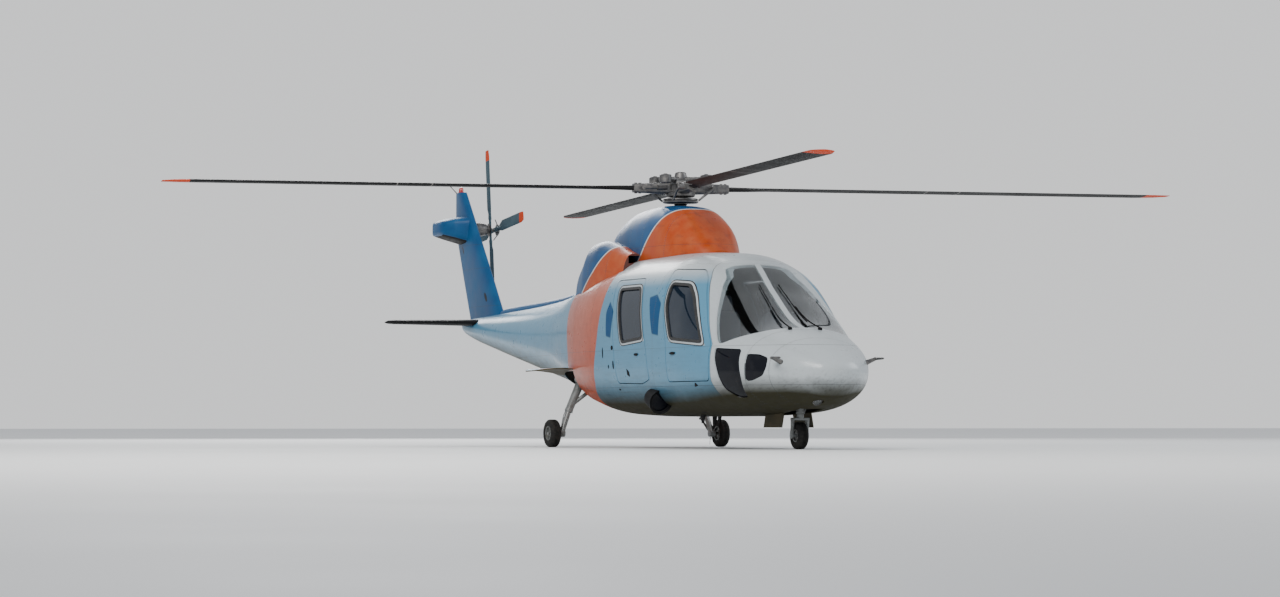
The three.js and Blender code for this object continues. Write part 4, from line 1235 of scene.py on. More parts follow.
for door in ("cockpit_door", "cabin_door"):
    outline, radius = OPENINGS[door]
    window, window_radius = WINDOWS[door]
    leaf = rounded_outline(inset(outline, DOOR_GAP), radius)
    for side_name, side in SIDES:
        body = f"{door}_{side_name}"
        panel = carve(copy_of(cabin_wall, f"{body}_skin"), [through(leaf), one_side(side)], "INTERSECT")
        carve(panel, [through(rounded_outline(window, window_radius))])
        skin_panel(panel, body, [body])
        glazing = pane(f"{body}_glass", window, window_radius, side)
        dress(glazing, body, [f"{door}_pane_{side_name}"], [TINTED_GLASS])
        for number, (grow, shrink) in enumerate((SEAL_EDGES, OUTER_LINE_EDGES)):
            channel = seal(f"{body}_seal_{number}", window, window_radius, side, grow, shrink)
            dress(channel, body, [], [RUBBER])

# %% Windscreen and chin windows
for side_name, side in SIDES:
    for place in ("fore", "aft"):
        outline, radius = OPENINGS[f"chin_{place}"]
        glazing = pane(f"chin_{place}_{side_name}_glass", outline, radius, side, near=0.001)
        dress(glazing, "airframe", [f"chin_pane_{place}_{side_name}"], [DARK_GLASS])
    outline, radius = OPENINGS["windscreen"]
    glazing = pane(f"windscreen_{side_name}_glass", outline, radius, side, near=WINDSCREEN_POST + 0.0003)
    dress(glazing, "airframe", [f"windscreen_{side_name}"], [CLEAR_GLASS])

# %% [markdown]
# ## Vents, drains, handles and wipers
#
# Small dark plates follow the skin: each is a cut of a thin wall that stands just proud of it, and the
# handles are cut from a thicker one. The plates of the vents and drains are painted shade, dark where
# the openings are. Those that lie on a door ride with the door.

# %% Marks on the sides
plate_wall = body_wall(1.5, CABIN_END, -0.002, 0.003)
handle_wall = body_wall(1.5, CABIN_END, -0.014, 0.003)


def oval(station, z, long, tall, lean=0.0):
    """An ellipse in side view, turned by an angle."""
    angle = full_turn(24)
    u, v = long / 2 * np.cos(angle), tall / 2 * np.sin(angle)
    c, s = math.cos(lean), math.sin(lean)
    return np.stack([station + u * c - v * s, z + u * s + v * c], axis=1)


def skin_marks(name, wall, outlines, body, side=None):
    """Plates of a wall's thickness inside the outlines, on both sides or on one."""
    cutter = joined("outlines", [through(outline) for outline in outlines])
    made = carve(copy_of(wall, name), [cutter], "INTERSECT")
    if side is not None:
        carve(made, [one_side(side)], "INTERSECT")
    return dress(shade_by_formula(made), body, [], [DARK_PAINT])


# painted shade: dark plates where the vent openings are
# ovals as (station, Z, length, height), on both sides
VENTS = [
    oval(4.49, 1.28, 0.072, 0.06), oval(4.45, 1.06, 0.045, 0.11, -0.15), oval(4.8, 1.22, 0.032, 0.14, -0.1),
    oval(4.61, 1.04, 0.03, 0.05), oval(4.379, 0.745, 0.06, 0.024),
    rounded_outline([(1.95, 0.77), (2.05, 0.755), (2.01, 0.815)], 0.02),
]
skin_marks("side_vents", plate_wall, VENTS, "airframe")
# painted shade: dark plates where the drain holes are
# ovals in plan as (X, station, width, length)
DRAINS = [
    oval(-0.04, 4.0, 0.1, 0.1), oval(-0.36, 3.46, 0.06, 0.13), oval(0.26, 2.56, 0.09, 0.09),
    oval(-0.6, 2.62, 0.05, 0.11), oval(0.46, 3.88, 0.08, 0.08), oval(0.0, 2.1, 0.12, 0.07),
]
drains = joined("outlines", [prism(outline, 0.2, 0.8, "plan") for outline in DRAINS])
drains = carve(copy_of(plate_wall, "belly_drains"), [drains], "INTERSECT")
dress(shade_by_formula(drains), "airframe", [], [DARK_PAINT])
CABIN_FLAP = rounded_outline([(3.925, 0.9), (4.005, 0.925), (4.02, 1.01), (3.935, 0.965)], 0.012)
for side_name, side in SIDES:
    for name, wall, outline, door in (
        ("cockpit_handle", handle_wall, oval(2.559, 1.175, 0.15, 0.034), "cockpit_door"),
        ("cabin_handle", handle_wall, oval(3.685, 1.18, 0.11, 0.032), "cabin_door"),
        ("cabin_flap", plate_wall, CABIN_FLAP, "cabin_door"),
    ):
        skin_marks(f"{name}_{side_name}", wall, [outline], f"{door}_{side_name}", side)

# %% [markdown]
# A wiper follows the glass: its arm and blade are bars along lines drawn on the body's top.

# %% Wipers


def skin_line(side, stations, xs, lift):
    """A path over the top of the body: Z is the superellipse solved for Z, and then lifted."""
    width, _, high, wide, above, _ = section_at(stations)
    z = wide + (high - wide) * (1 - (np.abs(xs) / width) ** above) ** (1 / above)
    return np.stack([side * xs, aft(stations), z + lift], axis=1)


for side_name, side in SIDES:
    arm = skin_line(side, np.linspace(1.0, 1.62, 12), np.linspace(0.2, 0.16, 12), 0.026)
    rubber = skin_line(side, np.linspace(1.3, 2.02, 12), np.linspace(0.17, 0.13, 12), 0.01)
    pivot = skin_line(side, np.array([0.985, 1.015]), np.array([0.2, 0.2]), 0.012)
    parts = [
        pipe("arm", arm, [0.009] * 11 + [0.005], 10),
        pipe("blade", rubber, 0.007, 10),
        pipe("pivot", pivot, 0.024, 20),
    ]
    wiper = smooth(joined(f"wiper_{side_name}", parts), 40)
    dress(wiper, "airframe", [], [DARK_PAINT])

for template in (cabin_wall, pane_wall, seal_wall, plate_wall, handle_wall):
    discard(template)

# %% [markdown]
# ## Nose, aft body and tail boom
#
# The rest of the hull is the same formula over other stations. The nose is a closed cap, hollow
# inside, the aft body has a bay cut in each side for a main wheel, and the boom only tapers.

# %% Hull fore and aft


def hull_cap(name, end, depth, first=0.0):
    """The body from near its tip to a station, with rings crowded towards the tip."""
    stations = first + (end - first) * np.linspace(0, 1, 40) ** 2
    return tube_grid(name, body_rings(stations, depth))


def lamp_hole():
    """A bar where the landing light is sunk in the nose."""
    ends = [(-0.1, aft(0.38), 0.523), (-0.1, aft(0.54), 0.64)]
    return pipe("hole", ends, 0.068, 40)


nose = carve(
    hull_cap("nose_skin", NOSE_END - SEAM, 0.0),
    [hull_cap("inner", NOSE_END + 0.01, WALL, 0.06), lamp_hole()],
)
skin_panel(nose, "airframe", ["nose_cone"])


def main_bay(side, grow=0.0):
    """The box of one main wheel's bay, grown evenly on its closed sides."""
    x0, x1 = sorted((side * (MAIN_BAY["inner"] - grow), side * 3.0))
    return block(x0, x1, MAIN_BAY["start"] - grow, MAIN_BAY["end"] + grow, -1, MAIN_BAY["roof"] + grow)


aft_wall = body_wall(CABIN_END + SEAM, AFT_BODY_END, 0.0, AFT_WALL)
carve(aft_wall, [main_bay(side) for _, side in SIDES])
aft_wall.name = "aft_body_skin"
skin_panel(aft_wall, "airframe", ["aft_body"])
boom = body_wall(AFT_BODY_END + SEAM, BOOM_END, 0.0, AFT_WALL, along=0.08)
end_cap = body_solid(BOOM_END - 0.06, BOOM_END + 0.003, -0.0005, along=0.02)
boom = joined("tail_boom_skin", [boom, end_cap])
skin_panel(boom, "airframe", ["tail_boom"])

# painted shadow: dark linings inside the nose and main wheel bays
LINING_THICK = 0.01
for side_name, side in SIDES:
    lining = carve(main_bay(side, LINING_THICK), [main_bay(side)])
    carve(lining, [body_solid(5.8, 7.3, 0.012)], "INTERSECT")
    lining.name = f"main_bay_lining_{side_name}"
    dress(lining, "airframe", [], [BAY_SHADOW])
nose_bay_box = block(-0.175, 0.175, 0.78, 1.77, 0.2, 0.652)
carve(nose_bay_box, [nose_bay_cutter()])
carve(nose_bay_box, [body_solid(0.5, 2.0, 0.012)], "INTERSECT")
nose_bay_box.name = "nose_bay_lining"
dress(nose_bay_box, "airframe", [], [BAY_SHADOW])

# %% [markdown]
# ## Pylon and engine cowls
#
# The rotor pylon and the two cowls are long humps with a squarish arch for a section. Each is a table
# of arches joined by the same monotone cubic, given a wall, and cut where the roof or a neighbour
# passes through it.

# %% Humps over the roof
# station, half width, foot, top, squareness n, distance of the middle from the centre line
PYLON_ROWS = np.array([
    (3.42, 0.19, 2.25, 2.5, 2.4, 0), (3.65, 0.36, 2.25, 2.7, 2.6, 0), (4.0, 0.5, 2.25, 2.96, 2.9, 0),
    (4.4, 0.54, 2.25, 3.11, 3.1, 0), (4.8, 0.545, 2.25, 3.14, 3.2, 0), (5.3, 0.53, 2.25, 3.12, 3.2, 0),
    (5.8, 0.49, 2.2, 3.04, 3.0, 0), (6.3, 0.4, 2.15, 2.86, 2.6, 0), (6.9, 0.25, 2.0, 2.58, 2.3, 0),
    (7.5, 0.09, 1.95, 2.24, 2.0, 0),
])
COWL_ROWS = np.array([
    (4.78, 0.175, 2.1, 2.51, 2.4, 0.62), (5.0, 0.215, 2.05, 2.56, 2.5, 0.62),
    (5.28, 0.26, 2.0, 2.64, 2.6, 0.62), (5.65, 0.285, 1.95, 2.705, 2.6, 0.62),
    (5.9, 0.275, 1.93, 2.685, 2.6, 0.62), (6.15, 0.23, 1.9, 2.54, 2.4, 0.62),
    (6.4, 0.175, 1.88, 2.4, 2.2, 0.62),
])
SPINE_ROWS = np.array([
    (7.52, 0.08, 2.088, 2.19, 2.4, 0), (9.0, 0.08, 1.968, 2.066, 2.4, 0),
    (11.0, 0.07, 1.898, 1.985, 2.4, 0), (11.3, 0.03, 1.888, 1.95, 2.4, 0),
])
COWL_WALL = 0.012


def hump_grid(rows, side, depth, stations, points=49):
    """Arches: x = half width times |cos|^(2/n) off the row's middle, z = foot + rise times |sin|^(2/n)."""
    angle = np.linspace(0, np.pi, points)
    s, a = np.meshgrid(stations, angle, indexing="ij")
    width, foot, top, power, out = monotone(rows, s)
    c, n = np.cos(a), np.abs(np.sin(a))
    across = (width - depth) * signed_power(c, 2 / power)
    return np.stack([side * out + across, aft(s), foot + (top - foot - depth) * n ** (2 / power)], axis=-1)


def hump(name, rows, side):
    """A hump with a wall, open below: the arches less the same arches made smaller by the wall."""
    first, last = rows[0, 0], rows[-1, 0]
    outer = tube_grid(name, hump_grid(rows, side, 0.0, np.linspace(first, last, 80)))
    lowered = rows.copy()
    lowered[:, 2] -= 0.06
    within = np.linspace(first + COWL_WALL, last - COWL_WALL, 80)
    return carve(outer, [tube_grid("inner", hump_grid(lowered, side, COWL_WALL, within))])


def roof_solid():
    """The body under the humps, which cuts them to its roof."""
    return body_solid(3.1, 9.0, PROUD)


def engine_pipe(side, start, end, radius0, radius1):
    """A length of the tail pipe's axis, from one share of its length to another."""
    root = np.array([side * 0.645, aft(5.94), 2.4])
    tip = np.array([side * 0.62, aft(6.48), 2.29])
    share = np.linspace(start, end, 12)[:, None]
    return pipe("pipe", root + (tip - root) * share, np.linspace(radius0, radius1, 12), 48)


pylon = hump("pylon_skin", PYLON_ROWS, 0.0)
mast_hole = pipe("hole", [(0, MAST_Y, 2.9), (0, MAST_Y, 3.3)], 0.087, 40)
carve(pylon, [roof_solid(), mast_hole])
dress(smooth(pylon, 40), "airframe", ["pylon_fairing"], [PYLON_PAINT])
for side_name, side in SIDES:
    cowl = hump(f"engine_cowl_{side_name}_skin", COWL_ROWS, side)
    pylon_hull = tube_grid("hull", hump_grid(PYLON_ROWS, 0.0, -0.0003, np.linspace(3.42, 7.5, 80)))
    intake = block(*sorted((side * 0.51, side * 0.71)), 4.7, 4.83, 2.38, 2.48)
    carve(cowl, [roof_solid(), pylon_hull, intake, engine_pipe(side, 0.0, 1.15, 0.084, 0.084)])
    dress(smooth(cowl, 40), "airframe", [f"engine_cowl_{side_name}"], [COWL_PAINT])
spine = tube_grid("boom_spine", hump_grid(SPINE_ROWS, 1, 0.0, np.linspace(7.52, 11.3, 90)))
dress(smooth(spine, 60), "airframe", [], [FIN_PAINT])

# %% [markdown]
# ## Fin and stabiliser
#
# Both are wings: a four-digit aerofoil section whose thickness follows the usual square-root and
# power series, carried from root to tip while the leading edge, chord and thickness change.

# %% Tail surfaces
STABILISER_Z = 1.8
# place across, leading edge's station, chord, thickness
STABILISER_ROWS = np.array([
    (-1.525, 11.82, 0.3, 0.05), (-1.455, 11.749, 0.414, 0.062), (-0.18, 11.54, 0.86, 0.096),
    (0.18, 11.54, 0.86, 0.096), (1.455, 11.749, 0.414, 0.062), (1.525, 11.82, 0.3, 0.05),
])
FIN_ROWS = np.array([
    (1.76, 11.08, 1.44, 0.17), (2.42, 11.63, 1.21, 0.16), (3.24, 12.345, 0.875, 0.15),
    (3.8, 12.83, 0.39, 0.11),
])


def aerofoil(points=40):
    """A closed wing section from (0, 0) to (1, 0): (share of chord, share of thickness)."""
    share = (1 - np.cos(np.linspace(0, np.pi, points))) / 2
    half = 5 * (
        0.2969 * np.sqrt(share) - 0.126 * share - 0.3516 * share**2 + 0.2843 * share**3 - 0.1015 * share**4
    )
    upper = np.stack([share, half], axis=1)
    lower = np.stack([share, -half], axis=1)[::-1]
    return np.vstack([upper, lower[1:-1]])


def columns_at(rows, at):
    """Each later column of a table read off at values of its first, by straight lines."""
    return [np.interp(at, rows[:, 0], column) for column in rows.T[1:]]


def wing(name, rows, place, steps=24):
    """Sections carried along the rows; place(across, station, up) turns them into points."""
    across = np.unique(np.concatenate([np.linspace(a, b, steps) for a, b in zip(rows[:-1, 0], rows[1:, 0])]))
    lead, chord, thick = columns_at(rows, across[:, None])
    section = aerofoil()
    station = lead + section[None, :, 0] * chord
    up = section[None, :, 1] * thick
    grid = place(np.broadcast_to(across[:, None], up.shape), station, up)
    return tube_grid(name, np.stack(grid, axis=-1))


stabiliser = wing("stabiliser_skin", STABILISER_ROWS, lambda a, s, u: (a, aft(s), STABILISER_Z + u))
# painted shade: the stabiliser is near black all over, standing for the shade its underside is in
dress(smooth(stabiliser, 50), "airframe", ["stabiliser"], [DARK_PAINT])
fin = wing("fin_skin", FIN_ROWS, lambda a, s, u: (u, aft(s), a))
dress(smooth(fin, 50), "airframe", ["fin"], [FIN_PAINT])

# %% [markdown]
# The tail rotor's gearbox sits in a squarish pod on the starboard side of the fin, with painted shade
# underneath: its lowest faces take the black paint.
# Its sections are superellipses of a low power, which keeps the sides flat and the edges eased.

# %% Gearbox pod and beacon
# X, front station, length, lowest and highest Z
GEARBOX_ROWS = np.array([
    (-0.42, 12.7, 0.5, 3.14, 3.35), (-0.25, 12.56, 0.62, 3.08, 3.4), (-0.03, 12.48, 0.64, 3.01, 3.43),
])
SHADED_UNDERSIDE_SHARE = 0.09


def gearbox_fairing():
    """A pod on the fin's starboard side: nearly square sections that shrink a little outwards."""
    across = np.linspace(-0.42, -0.01, 16)
    lead, chord, low, high = columns_at(GEARBOX_ROWS, across[:, None])
    angle = full_turn(64)[None, :]
    c, s = np.cos(angle), np.sin(angle)
    shrink = np.sqrt(np.clip((across + 0.44) / 0.05, 0.3, 1))[:, None]
    station = lead + chord / 2 + shrink * chord / 2 * signed_power(c, 0.55)
    z = (low + high) / 2 + shrink * (high - low) / 2 * signed_power(s, 0.4)
    grid = np.stack([np.broadcast_to(across[:, None], z.shape), aft(station), z], axis=-1)
    return tube_grid("gearbox_fairing", grid)


pod = smooth(gearbox_fairing(), 40)
dress(pod, "airframe", [], [FIN_PAINT, DARK_PAINT])
middle = face_values(pod, "center")
_, _, low, high = columns_at(GEARBOX_ROWS, middle[:, 0])
# painted shade: the pod's lowest faces take the black paint
second_material(pod, middle[:, 2] < low + SHADED_UNDERSIDE_SHARE * (high - low))
TAIL_ROTOR_Y, TAIL_ROTOR_Z, TAIL_HUB_X = TAIL_AXIS[1], 3.24, 0.43
TAIL_HUB = np.array([TAIL_HUB_X, TAIL_ROTOR_Y, TAIL_ROTOR_Z])
output_rows = [(-0.41, 0.0), (-0.41, 0.11), (-0.2, 0.105), (-0.11, 0.085), (-0.096, 0.07), (-0.096, 0.0)]
output = turned("tail_output_housing", output_rows, TAIL_HUB, (1, 0, 0))
dress(smooth(output), "airframe", [], [DARK_STEEL])
beacon_profile = [
    (0.0, 0.0), (0.0, 0.044), (0.012, 0.044), (0.014, 0.038), (0.06, 0.034), (0.082, 0.022), (0.09, 0.0)
]
beacon = turned("fin_beacon_lens", beacon_profile, (0, aft(13.0), 3.8), (0, 0, 1))
dress(smooth(beacon), "airframe", ["fin_beacon"], [RED_LENS])

# %% [markdown]
# ## Main rotor
#
# The head is a stack of turned parts on the mast with four arms. Each arm carries a pitch horn, a
# link down to the swashplate and a lag damper, and over them sits a four-armed vibration absorber.
# Parts are made for an arm that points aft, then turned into place, so all four are alike.

# %% Places and turns
MAIN_HUB = np.array([0.0, MAST_Y, 3.36])
ROTOR_TURN = math.radians(8.9)
BLADE_ROOT = 0.64


def about_z(points, angle):
    """Points turned about the Z axis."""
    c, s = math.cos(angle), math.sin(angle)
    return np.asarray(points, float) @ np.array([[c, s, 0], [-s, c, 0], [0, 0, 1]])


def about_x(points, angle):
    """Points turned about the X axis."""
    c, s = math.cos(angle), math.sin(angle)
    return np.asarray(points, float) @ np.array([[1, 0, 0], [0, c, s], [0, -s, c]])


def move_points(piece, change):
    """Sends every point of a mesh through one function of the whole array."""
    piece.data.vertices.foreach_set("co", np.asarray(change(mesh_points(piece)), np.float64).ravel())
    piece.data.update()
    return piece

# %% [markdown]
# An arm is forged flat and wide, so its section is a superellipse that tapers and is waisted.

# %% Forgings and bolts


def arm_forging(name, start, end, root, tip):
    """A flattened arm along Y: superellipse sections whose half width and half height taper."""
    rows, sides = 20, 40
    reach = np.linspace(start, end, rows)[:, None]
    share = (reach - start) / (end - start)
    angle = full_turn(sides)[None, :]
    c, s = np.cos(angle), np.sin(angle)
    waist = 1 - 0.16 * np.sin(np.pi * share)
    half = (root[0] + (tip[0] - root[0]) * share) * waist
    high = root[1] + (tip[1] - root[1]) * share
    grid = np.stack([
        half * signed_power(c, 0.6), np.broadcast_to(reach, (rows, sides)),
        high * signed_power(s, 0.6),
    ], axis=-1)
    return tube_grid(name, grid)


def bolt(place, axis, radius, height=0.012):
    """A six-sided bolt head."""
    rows = [(0, 0), (0, radius), (height, radius), (height, 0)]
    return turned("bolt", rows, np.asarray(place, float), axis, 6)


def boss(place, axis, half, radius, sides):
    """A short round boss, half its length either side of a place."""
    rows = [(-half, 0.0), (-half, radius), (half, radius), (half, 0.0)]
    return turned("boss", rows, place, axis, sides)

# %% [markdown]
# The pitch horn, link and damper are short bars between the places where the real ones are pinned.

# %% One arm of the head


def rotor_arm(k):
    """One arm of the head with its horn, link, damper, blade bolts and absorber weight."""
    link = [(0.136, 0.418, 0.012), (0.143, 0.31, -0.075), (0.15, 0.205, -0.16)]
    parts = [
        arm_forging("arm", 0.1, BLADE_ROOT - 0.002, (0.105, 0.08), (0.062, 0.058)),
        pipe("horn", [(0.0, 0.42, 0.0), (0.08, 0.42, -0.002), (0.15, 0.42, -0.01)], [0.042, 0.036, 0.028]),
        pipe("link", link, [0.013, 0.017, 0.013], 12),
        pipe("damper", [(-0.062, 0.17, 0.01), (-0.084, 0.33, 0.006)], 0.036),
        pipe("damper_rod", [(-0.084, 0.33, 0.006), (-0.11, 0.52, 0.0)], 0.017, 12),
        pipe("damper_pin", [(-0.122, 0.52, 0.0), (-0.02, 0.52, 0.0)], 0.024),
        boss((0.136, 0.418, 0.012), (1, 0, 0), 0.014, 0.028, 20),
        boss((-0.062, 0.17, 0.01), (0, 0, 1), 0.03, 0.045, 20),
    ]
    for reach in (0.545, 0.6):
        parts += [bolt((0.0, reach, 0.052 * up), (0, 0, up), 0.02, 0.018) for up in (1, -1)]
    diagonal = np.array([math.sin(math.pi / 4), math.cos(math.pi / 4), 0.0])
    weight = diagonal * 0.385 + (0, 0, 0.11)
    disc = [(-0.055, 0.0), (-0.055, 0.066), (-0.046, 0.078), (0.046, 0.078), (0.055, 0.066), (0.055, 0.0)]
    above = [diagonal * reach + (0, 0, 0.11) for reach in (0.04, 0.2, 0.408)]
    parts += [
        pipe("absorber_arm", above, [0.046, 0.036, 0.034]),
        turned("absorber_weight", disc, weight, (0, 0, 1), 32),
        bolt(weight + (0, 0, 0.055), (0, 0, 1), 0.026),
    ]
    arm = joined("arm", parts)
    return move_points(arm, lambda p: about_z(p, -ROTOR_TURN - k * math.pi / 2) + MAIN_HUB)

# %% [markdown]
# What the arms stand on is turned: mast, hub, cap and swashplate, each a list of (along, radius).

# %% Mast, hub and swashplate
mast_profile = [
    (-0.56, 0.0), (-0.56, 0.075), (-0.22, 0.075), (-0.21, 0.088), (-0.2, 0.075), (0.06, 0.075), (0.06, 0.0)
]
hub_profile = [
    (-0.11, 0.0), (-0.11, 0.17), (-0.098, 0.188), (-0.05, 0.19), (-0.045, 0.168), (0.045, 0.16),
    (0.05, 0.174), (0.098, 0.168), (0.11, 0.155), (0.11, 0.0),
]
cap_profile = [
    (0.1, 0.0), (0.1, 0.095), (0.125, 0.1), (0.14, 0.088), (0.205, 0.072), (0.215, 0.06), (0.222, 0.0)
]
swash_profile = [
    (-0.19, 0.0), (-0.19, 0.22), (-0.182, 0.232), (-0.166, 0.235), (-0.162, 0.205), (-0.156, 0.205),
    (-0.152, 0.23), (-0.136, 0.226), (-0.13, 0.212), (-0.13, 0.0),
]
head_parts = [
    turned("turned", rows, MAIN_HUB, (0, 0, 1), 64)
    for rows in (mast_profile, hub_profile, cap_profile, swash_profile)
]
head_parts += [rotor_arm(k) for k in range(4)]
ring = 2 * np.pi * np.arange(12) / 12
head_parts += [
    bolt(MAIN_HUB + (0.08 * math.cos(a), 0.08 * math.sin(a), 0.126), (0, 0, 1), 0.01) for a in ring
]
rotor_head = smooth(joined("rotor_head_metal", head_parts), 35)
dress(rotor_head, "main_rotor", ["rotor_head"], [DARK_STEEL])

# %% [markdown]
# ## Blades
#
# A blade is a wing again, along a straight axis: a thick root cuff, a long constant chord, and a tip
# whose leading edge sweeps back. The tail rotor's four blades are two straight pairs, one in front
# of the other.

# %% Main and tail blades
# reach, lead of the front edge, chord, thickness
MAIN_BLADE_ROWS = np.array([
    (BLADE_ROOT, 0.062, 0.124, 0.064), (0.9, 0.07, 0.15, 0.056), (1.18, 0.118, 0.39, 0.042),
    (6.3, 0.118, 0.39, 0.04), (6.56, 0.06, 0.332, 0.032), (6.705, -0.04, 0.225, 0.018),
])
TAIL_BLADE_ROWS = np.array([
    (0.19, 0.036, 0.072, 0.026), (0.33, 0.06, 0.16, 0.02), (1.12, 0.06, 0.16, 0.018),
    (1.22, 0.04, 0.13, 0.01),
])


def blade(name, rows):
    """A wing along Y whose leading edge lies at minus its lead in X."""
    flipped = rows.copy()
    flipped[:, 1] = -rows[:, 1]
    return wing(name, flipped, lambda a, s, u: (s, a, u), 12)


for k, name in enumerate(("aft", "port", "forward", "starboard")):
    made = blade(f"main_blade_{name}_skin", MAIN_BLADE_ROWS)
    move_points(made, lambda p, k=k: about_z(p, -ROTOR_TURN - k * math.pi / 2) + MAIN_HUB)
    dress(smooth(made, 50), "main_rotor", [f"main_blade_{name}"], [MAIN_BLADE_PAINT])

# %% [markdown]
# Each pair of tail blades is one piece with its beam, and the second pair crosses the first.

# %% Tail rotor
TAIL_ROTOR_TURN = math.radians(6)
PAIR_OFFSET = 0.034


def tail_pair(name, turn, offset):
    """Two opposite tail blades and the beam between them, flat in the rotor's plane."""
    halves = []
    for opposite in (0, math.pi):
        half = blade("half", TAIL_BLADE_ROWS)
        move_points(half, lambda p: p @ np.array([[0, 0, -1], [0, 1, 0], [1, 0, 0]]))
        halves.append(move_points(half, lambda p, a=opposite: about_x(p, a)))
    beam = arm_forging("beam", -0.215, 0.215, (0.014, 0.036), (0.014, 0.036))
    grips = [pipe("grip", [(0, s * 0.16, 0), (0, s * 0.3, 0)], [0.026, 0.02]) for s in (-1, 1)]
    whole = joined(name, [*halves, beam, *grips])
    angle = math.pi / 2 + turn - TAIL_ROTOR_TURN
    return move_points(whole, lambda p: about_x(p + (offset, 0, 0), angle) + TAIL_HUB)


for name, turn, offset in (("upright", 0, -PAIR_OFFSET), ("level", math.pi / 2, PAIR_OFFSET)):
    pair = smooth(tail_pair(f"tail_blades_{name}_skin", turn, offset), 50)
    dress(pair, "tail_rotor", [f"tail_blades_{name}"], [TAIL_BLADE_PAINT])

hub_rows = [
    (-0.088, 0.0), (-0.088, 0.052), (-0.062, 0.052), (-0.062, 0.094), (-0.058, 0.1), (-0.056, 0.09),
    (-0.056, 0.02), (0.072, 0.02), (0.072, 0.086), (0.078, 0.09), (0.092, 0.074), (0.096, 0.066),
    (0.096, 0.0),
]
tail_parts = [turned("hub", hub_rows, TAIL_HUB, (1, 0, 0), 48)]
link_ends = np.array([[0.084, 0.07, 0.0], [0.03, 0.15, 0.052]])
for k in range(4):
    link = about_x(link_ends, k * math.pi / 2 - TAIL_ROTOR_TURN) + TAIL_HUB
    tail_parts.append(pipe("link", link, 0.008, 10))
tail_hub = smooth(joined("tail_hub_metal", tail_parts), 35)
dress(tail_hub, "tail_rotor", ["tail_hub"], [DARK_STEEL])

# %% [markdown]
# ## Landing gear
#
# Legs are tubes, forgings and links; the bright inner tube of a leg slides in the enamelled outer one.
# A tyre is a profile turned about its axle, with three grooves round its tread, and each wheel is a
# deep dish with bolts.

# %% Tyres
WHEEL_SIDES = 40
# metres; the grooves' middles are shares of the half width
NOSE_TYRE = {"radius": 0.165, "width": 0.127, "rim": 0.078}
MAIN_TYRE = {"radius": 0.184, "width": 0.14, "rim": 0.096}
GROOVES = (-0.22, 0.0, 0.22)


def tyre(name, size, centre):
    """The tyre's rounded profile with grooves in its crown, turned about X."""
    r, half, rim = size["radius"], size["width"] / 2, size["rim"]
    crown = [(-0.46, 1.0)]
    for place in GROOVES:
        crown += [(place - 0.045, 1.0), (place - 0.03, 0.955), (place + 0.03, 0.955), (place + 0.045, 1.0)]
    crown.append((0.46, 1.0))
    bead, bulge = (rim + 0.25 * (r - rim)) / r, (rim + 0.5 * (r - rim)) / r
    wall = [(0.8, rim / r + 0.01), (0.97, bead), (1.0, bulge), (0.9, 0.9), (0.68, 0.98)]
    left = [(-a, b) for a, b in wall]
    profile = np.array([*left, *crown, *wall[::-1]])
    rows = np.stack([profile[:, 0] * half, profile[:, 1] * r], axis=1)
    made = turned(name, rows, centre, (1, 0, 0), WHEEL_SIDES)
    return smooth(made, 50)

# %% [markdown]
# The rim's dish is deep, so it is turned too, and eight bolts are set round it.

# %% Wheel and its disc


def wheel_disc(name, size, centre, outboard):
    """A dished wheel turned from rim flanges, a sloping dish and a hub cap, with a ring of bolts."""
    half, rim = size["width"] / 2, size["rim"]
    profile = np.array([
        (-0.82, rim - 0.004), (-0.86, rim - 0.001), (-0.84, rim - 0.012), (-0.5, rim * 0.86),
        (-0.42, 0.05), (-0.55, 0.04), (-0.62, 0.036), (-0.62, 0.023),
        (0.62, 0.023), (0.62, 0.034), (0.55, 0.042), (0.36, 0.05),
        (0.44, rim * 0.84), (0.84, rim - 0.012), (0.86, rim - 0.001), (0.82, rim - 0.004),
    ])
    rows = np.stack([profile[:, 0] * half, profile[:, 1]], axis=1)
    parts = [turned("disc", rows, centre, (outboard, 0, 0), 48)]
    for a in 2 * np.pi * np.arange(8) / 8:
        spot = np.asarray(centre, float) + (outboard * half * 0.4, 0.062 * math.cos(a), 0.062 * math.sin(a))
        parts.append(bolt(spot, (outboard, 0, 0), 0.0075))
    return smooth(joined(name, parts), 35)


def axle_height(tyre_node):
    """Half the height of a tyre's solid, which stands on the ground."""
    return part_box(tyre_node)[1][2] / 2


def wheel(name, size, centre, outboard, body, nodes):
    """A tyre and its disc, riding on one wheel's body."""
    rubber = tyre(f"tyre_{name}_rubber", size, centre)
    dress(rubber, body, [nodes[0]], [TYRE])
    disc = wheel_disc(f"rim_{name}_metal", size, centre, outboard)
    dress(disc, body, [nodes[1]], [WHEEL_METAL])
    print(name, "tyre:", sum(len(f.vertices) - 2 for f in rubber.data.polygons), "triangles")

# %% [markdown]
# Each wheel stands where its solid does, and rides on that wheel's body.

# %% The three wheels
NOSE_WHEEL = np.array([0.0, aft(1.165), axle_height("tyre_nose")])
MAIN_WHEEL_X, MAIN_WHEEL_STATION = 1.22, 6.165
wheel("nose", NOSE_TYRE, NOSE_WHEEL, 1, "nose_wheel", ("tyre_nose", "rim_nose"))
for side_name, side in SIDES:
    tyre_node, rim_node = f"tyre_{side_name}", f"rim_{side_name}"
    centre = np.array([side * MAIN_WHEEL_X, aft(MAIN_WHEEL_STATION), axle_height(tyre_node)])
    wheel(f"main_{side_name}", MAIN_TYRE, centre, side, f"main_wheel_{side_name}", (tyre_node, rim_node))

# %% [markdown]
# The nose leg is two pieces, because the fork under it steers while the strut stays still.

# %% Nose leg and fork
AXLE = 0.022
STEERING_LEAD = 0.03
LEG_TOP = 0.6597


